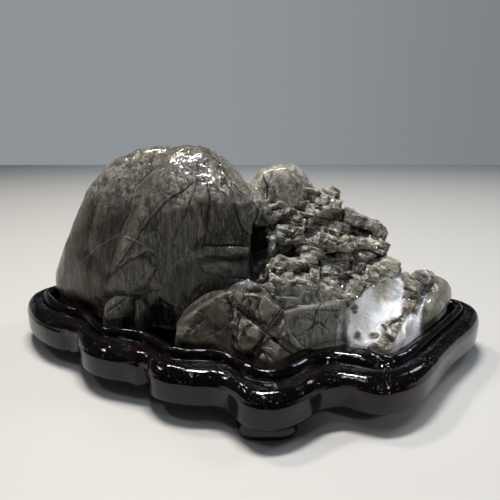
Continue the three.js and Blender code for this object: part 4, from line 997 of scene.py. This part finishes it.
# Waxed limestone with calcite: fractured by weather, brushed clean and waxed, so that its smooth
# faces have a soft wet sheen while its broken layers and its cracks stay dull and dark.
def waxed_limestone():
    finish, tree, where = start_finish("waxed_weathered_limestone")
    mask = {
        name: add(tree, "ShaderNodeAttribute", attribute_name=name).outputs["Fac"]
        for name in ("crack", "crack_side", "thread", "thread_side", "quartz", "calcite", "stain",
                     "craggy", "brown", "shoulder", "slab", "drawn", "buttress", "blocky", "peak", "pale",
                     "worn", "hollow")
    }
    mask |= grains(tree, where, ROCK_GRAINS)
    laid = add(tree, "ShaderNodeMapping", {
        "Vector": where, "Rotation": (0, BED_TILT, 0), "Scale": BED_STRETCH,
    }, vector_type="TEXTURE").outputs[0]
    mask |= grains(tree, laid, BED_GRAINS, BED_WARP)
    for name, far in distances_from_lines(tree, where, mask).items():
        half_width, core = LINES[name]
        mask[name] = add(tree, "ShaderNodeMapRange", {
            "Value": far, "From Min": half_width, "From Max": core * half_width,
        }, interpolation_type="SMOOTHSTEP").outputs[0]
    # Raised places are drawn paler; hollow places are drawn darker as painted shade.
    for name, low, high in (("raised", 0.45, 0.15), ("sunken", 0.58, 0.9)):
        mask[name] = add(tree, "ShaderNodeMapRange", {
            "Value": mask["hollow"], "From Min": low, "From Max": high,
        }, interpolation_type="SMOOTHSTEP").outputs[0]
    mask["not_white"] = added_up(tree, mask, 1.0, [("calcite", -0.95)])
    bump = add(tree, "ShaderNodeBump", {
        "Height": added_up(tree, mask, 0.0, ROCK_TOUCH), "Strength": 1.0, "Distance": 0.4 * MM,
    })
    end_finish(tree, {
        "Base Color": painted(tree, mask, ROCK_COATS), "Normal": bump.outputs[0], "IOR": 1.55,
        "Roughness": added_up(tree, mask, 0.34, ROCK_GLOSS), "Coat Weight": 0.6, "Coat Roughness": 0.1,
    })
    return finish


# Black lacquer over carved hardwood: many brushed coats, so it is deep black with a dark red glow,
# mirrors like glass, and keeps a faint orange-peel ripple and the specks of dust caught in it.
# The specks are drawn at 0.9 mm, several times as coarse as real dust, so that they show.
def black_lacquer():
    finish, tree, where = start_finish("brushed_black_lacquer")
    mask = grains(tree, where, {
        "glow": (14, 2, 0.5, EVEN, (0.45, 0.75)),
        "specks": (0.9, 2, 0.5, EVEN, (0.63, 0.73)),
        "ripple": (2.4, 3, 0.5, EVEN, None),
        "haze": (5, 2, 0.5, EVEN, (0.35, 0.7)),
    })
    height = add(tree, "ShaderNodeSeparateXYZ", {0: where}).outputs["Z"]
    mask["above_wall"] = add(tree, "ShaderNodeMapRange", {
        "Value": height, "From Min": 15.0 * MM, "From Max": 17.5 * MM, "To Min": 0.12,
    }, interpolation_type="SMOOTHSTEP").outputs[0]
    touch = added_up(tree, mask, 0.0, [("ripple above_wall", 1), ("specks above_wall", 1.4)])
    bump = add(tree, "ShaderNodeBump", {"Height": touch, "Strength": 0.6, "Distance": 0.2 * MM})
    end_finish(tree, {
        "Base Color": painted(tree, mask, ["#070608", ("glow", 1, "#120508")]), "Normal": bump.outputs[0],
        "Roughness": added_up(tree, mask, 0.03, [("haze", 0.05)]), "IOR": 1.46,
    })
    return finish


# Painted board: a pale matt floor, drawn a little bluer and darker towards its far edge as painted shade.
def pale_floor_finish():
    finish, tree, where = start_finish("pale_painted_board")
    back = add(tree, "ShaderNodeSeparateXYZ", {0: where}).outputs["Y"]
    # Painted shade: the far end of the floor is drawn darker and bluer.
    far = add(tree, "ShaderNodeMapRange", {"Value": back, "From Min": 0.40, "From Max": 0.655},
              interpolation_type="SMOOTHSTEP").outputs[0]
    colour = painted(tree, {"far": far}, ["#c3c2bc", ("far", 1, "#b4b8b8")])
    end_finish(tree, {"Base Color": colour, "Roughness": 0.55})
    return finish


# The stand

# Heights above the table, in millimetres.
FOOT_HEIGHT = 7.0
WALL_HEIGHT = 8.6
SHOULDER_TOP = 13.5
GROOVE_HEIGHT = 12.3
COLLAR_TOP = 15.6
COLLAR_INNER_TOP = 14.2
POCKET_FLOOR = 9.0
FOOT_GAP = 0.3

# Plans of the wall's foot, lobe by lobe, of the groove and of the pocket's edge, in millimetres.
# They are measured from a point a little to the left of the footprint's middle.
PLAN_SHIFT = np.array([1.423, 1.502])
STAND_LOBES = [
    [(-79.6, -12.6), (-76.2, -21.5), (-71, -29.8), (-65.6, -34.6), (-58, -38.2), (-50, -40.4),
     (-45.4, -42.6), (-42.2, -40.6)],
    [(-42.2, -40.6), (-40.2, -47.2), (-36.6, -51.6), (-30, -54.9), (-22, -56.7), (-13.5, -57.3),
     (-8, -61), (-2, -68.8), (5, -71.9), (12, -70.6), (20, -65.6), (27, -59.8), (35, -57.5),
     (41.7, -60.5), (48.2, -62.8), (56, -60.6), (64.8, -55), (70, -49.8), (86.9, -28.3),
     (105.4, -7.9), (110.6, 0.6), (112.6, 6.4), (110.2, 13.8), (104, 20.4), (96, 24.4)],
    [(96, 24.4), (94.4, 34), (86.4, 42.6), (74, 48), (62, 50.4), (50.4, 54)],
    [(50.4, 54), (44.6, 60.6), (34, 64.8), (20, 65.4), (6, 64.2), (-4, 61.2)],
    [(-4, 61.2), (-14, 66.6), (-27, 68.6), (-40, 67.4), (-50.6, 62.2)],
    [(-50.6, 62.2), (-60, 63.4), (-72, 60.4), (-81, 54), (-86.4, 46.4)],
    [(-86.4, 46.4), (-95, 46), (-105, 41.6), (-112.4, 33.2), (-115.6, 23.4), (-113.2, 14.3),
     (-106.4, 3.2), (-95.3, -7.8), (-87.4, -12.4), (-81.6, -14.6), (-79.6, -12.6)],
]
GROOVE_LINE = [
    (-107.6, 23), (-100, 8.6), (-92.3, 2.4), (-85.6, -0.6), (-78.7, -5.4), (-71.6, -15.2),
    (-65.6, -21.2), (-59.5, -24), (-51.9, -25.4), (-44.2, -29.2), (-39.4, -34.2), (-33.7, -39.6),
    (-26.1, -42.4), (-17.2, -43), (-11, -45.2), (-5.6, -50.4), (-0.4, -55.8), (5, -58.4),
    (10.4, -58.2), (17.4, -54.4), (23.7, -48.6), (29.4, -45.6), (36.4, -45.4), (43.4, -48.2),
    (49.6, -50.2), (56.6, -48.6), (63.3, -44.2), (79.4, -26), (101, -0.6), (104.4, 5.4),
    (102.4, 12), (95.6, 16.6), (88.6, 21.4), (85, 30.4), (72, 37.6), (54, 42.4), (42, 50.4),
    (20, 53.6), (-4, 51.6), (-26, 56.4), (-48, 51.8), (-68, 49.4), (-84, 38), (-98, 34.4),
    (-105.4, 30.2),
]
SEAT_LINE = [
    (-103.6, 23.6), (-95.8, 11.6), (-90, 6.4), (-83.6, 3.2), (-75.4, -1.8), (-68.6, -12),
    (-63.6, -17), (-57.8, -19.4), (-50.6, -20.8), (-42.2, -24.6), (-36.2, -30.6), (-31.4, -35.6),
    (-25, -38.2), (-15.4, -38.6), (-8.6, -41.6), (-2.6, -47.6), (1.6, -51.8), (5.6, -54),
    (9.8, -53.6), (14.8, -50), (21, -42.8), (28, -37.4), (35, -35), (40.4, -35.8), (44.4, -40),
    (48.6, -44), (53.6, -44.6), (60, -40.4), (72.4, -27.8), (95.8, -1.2), (99.4, 5.2), (97, 10.4),
    (89, 14.6), (83, 20), (78, 27.6), (68, 31.8), (51, 36.8), (38, 44), (18, 47.4), (-4, 45.8),
    (-26, 49.6), (-46, 45.4), (-64, 42.8), (-80, 33.4), (-94, 30.6), (-101.2, 28),
]
PLAN_CENTRE = np.array([2.0, -4.0])

# Steps of the plan lines in millimetres, how many directions a ring is made of, how many of them on
# each side a notch is eased over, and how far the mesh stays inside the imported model's box.
PLAN_STEP = 0.6
STAND_DIRECTIONS = 900
NOTCH_EASING = 9
BOX_MARGIN = 0.002

# The outside as (share of the way in from the wall to the groove, softness of the notches, height).
SHELL_PROFILE = [
    [0.045, 0.0, 0.0],
    [0.005, 0.0, 0.7],
    [0.0, 0.25, WALL_HEIGHT * 0.5],
    [0.004, 0.6, WALL_HEIGHT - 0.4],
    [0.03, 0.9, WALL_HEIGHT + 0.8],
    [0.12, 1.0, WALL_HEIGHT + 2.9],
    [0.34, 1.0, SHOULDER_TOP - 0.3],
    [0.62, 1.0, SHOULDER_TOP],
    [0.90, 1.0, SHOULDER_TOP - 0.35],
    [1.0, 1.0, GROOVE_HEIGHT],
]
# The collar as (share of the way in from the groove to the pocket's edge, height).
COLLAR_PROFILE = [
    [0.02, GROOVE_HEIGHT + 0.1],
    [0.12, GROOVE_HEIGHT + 2.0],
    [0.42, COLLAR_TOP],
    [0.8, COLLAR_TOP - 0.2],
    [1.0, COLLAR_INNER_TOP],
]


def bent_line(points, closed):
    """A smooth line through points, a little rounder where they lie further apart."""
    p = np.array(points, float)
    if closed:
        p = np.vstack([p[-1:], p, p[:2]])
    else:
        p = np.vstack([2 * p[0] - p[1], p, 2 * p[-1] - p[-2]])
    out = []
    for a, b, c, d in zip(p, p[1:], p[2:], p[3:]):
        t0, t1, t2 = [max(np.hypot(*(v - u)), 1e-6) ** 0.5 for u, v in ((a, b), (b, c), (c, d))]
        start = ((b - a) / t0 - (c - a) / (t0 + t1) + (c - b) / t1) * t1
        end = ((c - b) / t1 - (d - b) / (t1 + t2) + (d - c) / t2) * t1
        count = max(2, int(np.hypot(*(c - b)) / PLAN_STEP))
        t = np.arange(count)[:, None] / count
        out.append((2 * t**3 - 3 * t**2 + 1) * b + (t**3 - 2 * t**2 + t) * start
                   + (3 * t**2 - 2 * t**3) * c + (t**3 - t**2) * end)
    return np.vstack(out)


def reach(line, angles):
    """Distance of a plan line from the plan's middle in each direction."""
    offset = line - PLAN_CENTRE
    angle = np.arctan2(offset[:, 1], offset[:, 0])
    order = np.argsort(angle)
    return np.interp(angles, angle[order], np.hypot(*offset.T)[order], period=2 * math.pi)


def ring_mesh(name, rings, low_end, high_end):
    """A closed mesh through stacked rings of points in millimetres, with a fan at each end."""
    count = len(rings[0])
    points = np.vstack([*rings, [low_end, high_end]])
    points = np.clip(points, np.array(CAD_LOW) / MM + BOX_MARGIN, np.array(CAD_HIGH) / MM - BOX_MARGIN)
    faces = []
    for r in range(len(rings) - 1):
        for i in range(count):
            a, b = r * count + i, r * count + (i + 1) % count
            faces.append((a, b, b + count, a + count))
    last = (len(rings) - 1) * count
    for i in range(count):
        j = (i + 1) % count
        faces.append((len(points) - 2, j, i))
        faces.append((len(points) - 1, last + i, last + j))
    mesh = bpy.data.meshes.new(name)
    mesh.from_pydata((points * MM).tolist(), [], faces)
    mesh.shade_smooth()
    return link(name, mesh)


def along_profile(rows, steps):
    """Rows of numbers joined by a smooth line, with steps between each two of them."""
    rows = np.array(rows, float)
    padded = np.vstack([2 * rows[0] - rows[1], rows, 2 * rows[-1] - rows[-2]])
    out = []
    for a, b, c, d in zip(padded, padded[1:], padded[2:], padded[3:]):
        for n in range(steps):
            t = n / steps
            out.append(0.5 * (2 * b + (c - a) * t + (2 * a - 5 * b + 4 * c - d) * t**2
                              + (3 * b - a - 3 * c + d) * t**3))
    out.append(rows[-1])
    return np.array(out)


def carved(places):
    """Leaves the faint hollows of the carver's tools, which break up what the lacquer mirrors."""
    places[:, 2] += 0.2 * wave(places, 6.0, 90) + 0.06 * wave(places, 2.5, 91)
    return places


def make_stand():
    angles = np.linspace(-math.pi, math.pi, STAND_DIRECTIONS, endpoint=False)
    wall = reach(np.vstack([bent_line(lobe, False) for lobe in STAND_LOBES]), angles)
    eased = np.mean([np.roll(wall, n) for n in range(-NOTCH_EASING, NOTCH_EASING + 1)], axis=0)
    groove = reach(bent_line(GROOVE_LINE, True), angles)
    seat = reach(bent_line(SEAT_LINE, True), angles)
    middle = PLAN_CENTRE + PLAN_SHIFT

    def ring(r, height):
        x, y = middle[0] + r * np.cos(angles), middle[1] + r * np.sin(angles)
        return np.stack([x, y, np.full_like(x, FOOT_HEIGHT + height)], 1)

    rings = []
    for share, softness, height in along_profile(SHELL_PROFILE, 5):
        outer = wall + (eased - wall) * softness
        made = ring(outer + (groove - outer) * share, height)
        rings.append(carved(made) if height > WALL_HEIGHT else made)
    for share, height in along_profile(COLLAR_PROFILE, 4):
        rings.append(carved(ring(groove + (seat - groove) * share, height)))
    rings.append(ring(seat - 0.3, COLLAR_INNER_TOP - 2.5))
    rings.append(ring(seat - 0.5, POCKET_FLOOR))
    return ring_mesh("carved_stand", rings, [*middle, FOOT_HEIGHT], [*middle, FOOT_HEIGHT + POCKET_FLOOR])


# Feet as (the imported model's node, place in plan, turn in radians, half length, half width).
FEET = [
    ("foot_front", 6.5, -61, 0, 11.5, 7.5),
    ("foot_left", -95, 14, 2.3, 10, 6.5),
    ("foot_right", 93, 2, 0.95, 10, 6.5),
    ("foot_back_left", -62, 52, 3.3, 11, 6.5),
    ("foot_back_right", 58, 43, -0.15, 11, 6.5),
]
FOOT_TOP = FOOT_HEIGHT - FOOT_GAP
# The foot's waisted side, as its share of the plan at each height.
FOOT_PROFILE = [[0.84, 0.0], [0.93, 0.5], [0.985, 1.8], [0.915, 4.4], [0.95, FOOT_TOP]]
FOOT_CORNERS = 0.75


def make_foot(node, x, y, turn, half_length, half_width):
    """A low pad whose plan is between an ellipse and a rectangle."""
    angles = np.linspace(0, 2 * math.pi, 72, endpoint=False)
    c, s = np.cos(angles), np.sin(angles)
    along = half_length * np.sign(c) * np.abs(c) ** FOOT_CORNERS
    across = half_width * np.sign(s) * np.abs(s) ** FOOT_CORNERS
    centre = [x + PLAN_SHIFT[0], y + PLAN_SHIFT[1]]
    rings = []
    for share, height in along_profile(FOOT_PROFILE, 4):
        u, v = share * along, share * across
        rings.append(np.stack([
            centre[0] + u * math.cos(turn) - v * math.sin(turn),
            centre[1] + u * math.sin(turn) + v * math.cos(turn),
            np.full_like(u, height),
        ], 1))
    return ring_mesh(node + "_pad", rings, [*centre, 0], [*centre, FOOT_TOP])


def dress(piece, finish, node):
    piece.data.materials.append(finish)
    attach(piece, "root")
    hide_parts(node)


# Floor and light

# The floor's half width, and how near and how far it reaches, in metres.
FLOOR_HALF_WIDTH = 3.0
FLOOR_NEAR = -2.0
FLOOR_FAR = 0.66
NEUTRAL_TUBE = "#f2f6ff"
# Lamps as (name, place, what it points at, width and depth, watts, colour, spread in degrees).
LAMPS = [
    ("overhead", (-0.05, 0.24, 1.1), (0, -0.08, 0), (0.4, 0.12), 3.85, "#fbf9fb", 100),
    ("key_left", (-0.32, 0.42, 0.85), (0, -0.05, 0), (0.16, 0.1), 1.0, "#fff4e6", 100),
    ("tube_front", (-0.06, -0.16, 1.15), (0, 0, 0), (0.16, 0.014), 0.6, NEUTRAL_TUBE, 180),
    ("tube_second", (-0.06, -0.34, 1.1), (0, 0, 0), (0.16, 0.012), 0.35, NEUTRAL_TUBE, 180),
    ("tube_room", (0.2, -0.75, 0.95), (0, 0, 0), (0.08, 0.015), 0.15, NEUTRAL_TUBE, 180),
    ("tube_low", (0.15, -0.9, 0.5), (0, 0, 0), (0.14, 0.015), 0.1, NEUTRAL_TUBE, 180),
    ("window_left", (-0.75, 0.12, 0.8), (0, 0, 0.05), (0.12, 0.06), 0.75, "#eef4ff", 180),
    ("window_right", (0.6, 0.3, 0.62), (0, 0, 0.03), (0.24, 0.24), 1.7, "#e6efff", 180),
]
# A narrow lamp that lights the calcite from the front right, as (name, place, what it points at,
# watts, colour), and the angle of its cone.
REFLECTOR = ("reflector", (0.3, -0.45, 0.4), (0.062, -0.025, 0.03), 5.2, "#ffffff")
REFLECTOR_CONE = math.radians(10)
# How bright the wall behind is in each direction looked in, as (axis, from, to, brightness at the
# first, brightness at the second). The three are multiplied, and the room's own light is added.
WALL_FADES = [("Y", 0.1, 0.75, 0.0, 1.0), ("Z", 0.42, 0.16, 0.0, 1.0), ("X", -0.1, 0.6, 0.385, 0.27)]
ROOM_BRIGHTNESS = 0.034


def make_floor():
    wide = FLOOR_HALF_WIDTH
    corners = [(-wide, FLOOR_NEAR, 0), (wide, FLOOR_NEAR, 0), (wide, FLOOR_FAR, 0), (-wide, FLOOR_FAR, 0)]
    mesh = bpy.data.meshes.new("floor")
    mesh.from_pydata(corners, [], [(0, 1, 2, 3)])
    mesh.materials.append(pale_floor_finish())
    link("floor", mesh)


def hang(data, place, aim, watts, colour):
    data.energy = watts
    data.color = linear(colour)[:3]
    lamp = link(data.name, data)
    lamp.location = place
    lamp.rotation_euler = (Vector(aim) - Vector(place)).to_track_quat("-Z", "Y").to_euler()


def light_the_room():
    """A grey wall behind, a dim room in front, and lamps overhead, as in a small plain studio."""
    world = bpy.data.worlds.new("room")
    world.use_nodes = True
    tree = world.node_tree
    tree.nodes.clear()
    direction = add(tree, "ShaderNodeTexCoord").outputs["Generated"]
    facing = add(tree, "ShaderNodeSeparateXYZ", {0: direction}).outputs
    back, low, side = [
        add(tree, "ShaderNodeMapRange", {
            "Value": facing[axis], "From Min": start, "From Max": end, "To Min": least, "To Max": most,
        }, interpolation_type="SMOOTHSTEP").outputs[0]
        for axis, start, end, least, most in WALL_FADES
    ]
    wall = add(tree, "ShaderNodeMath", {0: back, 1: low}, operation="MULTIPLY").outputs[0]
    strength = add(tree, "ShaderNodeMath", {0: wall, 1: side, 2: ROOM_BRIGHTNESS},
                   operation="MULTIPLY_ADD").outputs[0]
    shade = add(tree, "ShaderNodeBackground", {"Color": linear("#d2dadf"), "Strength": strength})
    add(tree, "ShaderNodeOutputWorld", {"Surface": shade.outputs[0]})
    bpy.context.scene.world = world
    for name, place, aim, size, watts, colour, spread in LAMPS:
        data = bpy.data.lights.new(name, "AREA")
        data.spread = math.radians(spread)
        data.shape = "RECTANGLE"
        data.size, data.size_y = size
        hang(data, place, aim, watts, colour)
    name, *rest = REFLECTOR
    data = bpy.data.lights.new(name, "SPOT")
    data.spot_size = REFLECTOR_CONE
    data.spot_blend = 1.0
    data.shadow_soft_size = 0.02
    hang(data, *rest)


bpy.context.scene.view_settings.view_transform = "Standard"
make_camera()
make_floor()
light_the_room()
lacquer = black_lacquer()
dress(make_stone(), waxed_limestone(), "stone")
dress(make_stand(), lacquer, "stand")
for foot in FEET:
    dress(make_foot(*foot), lacquer, foot[0])
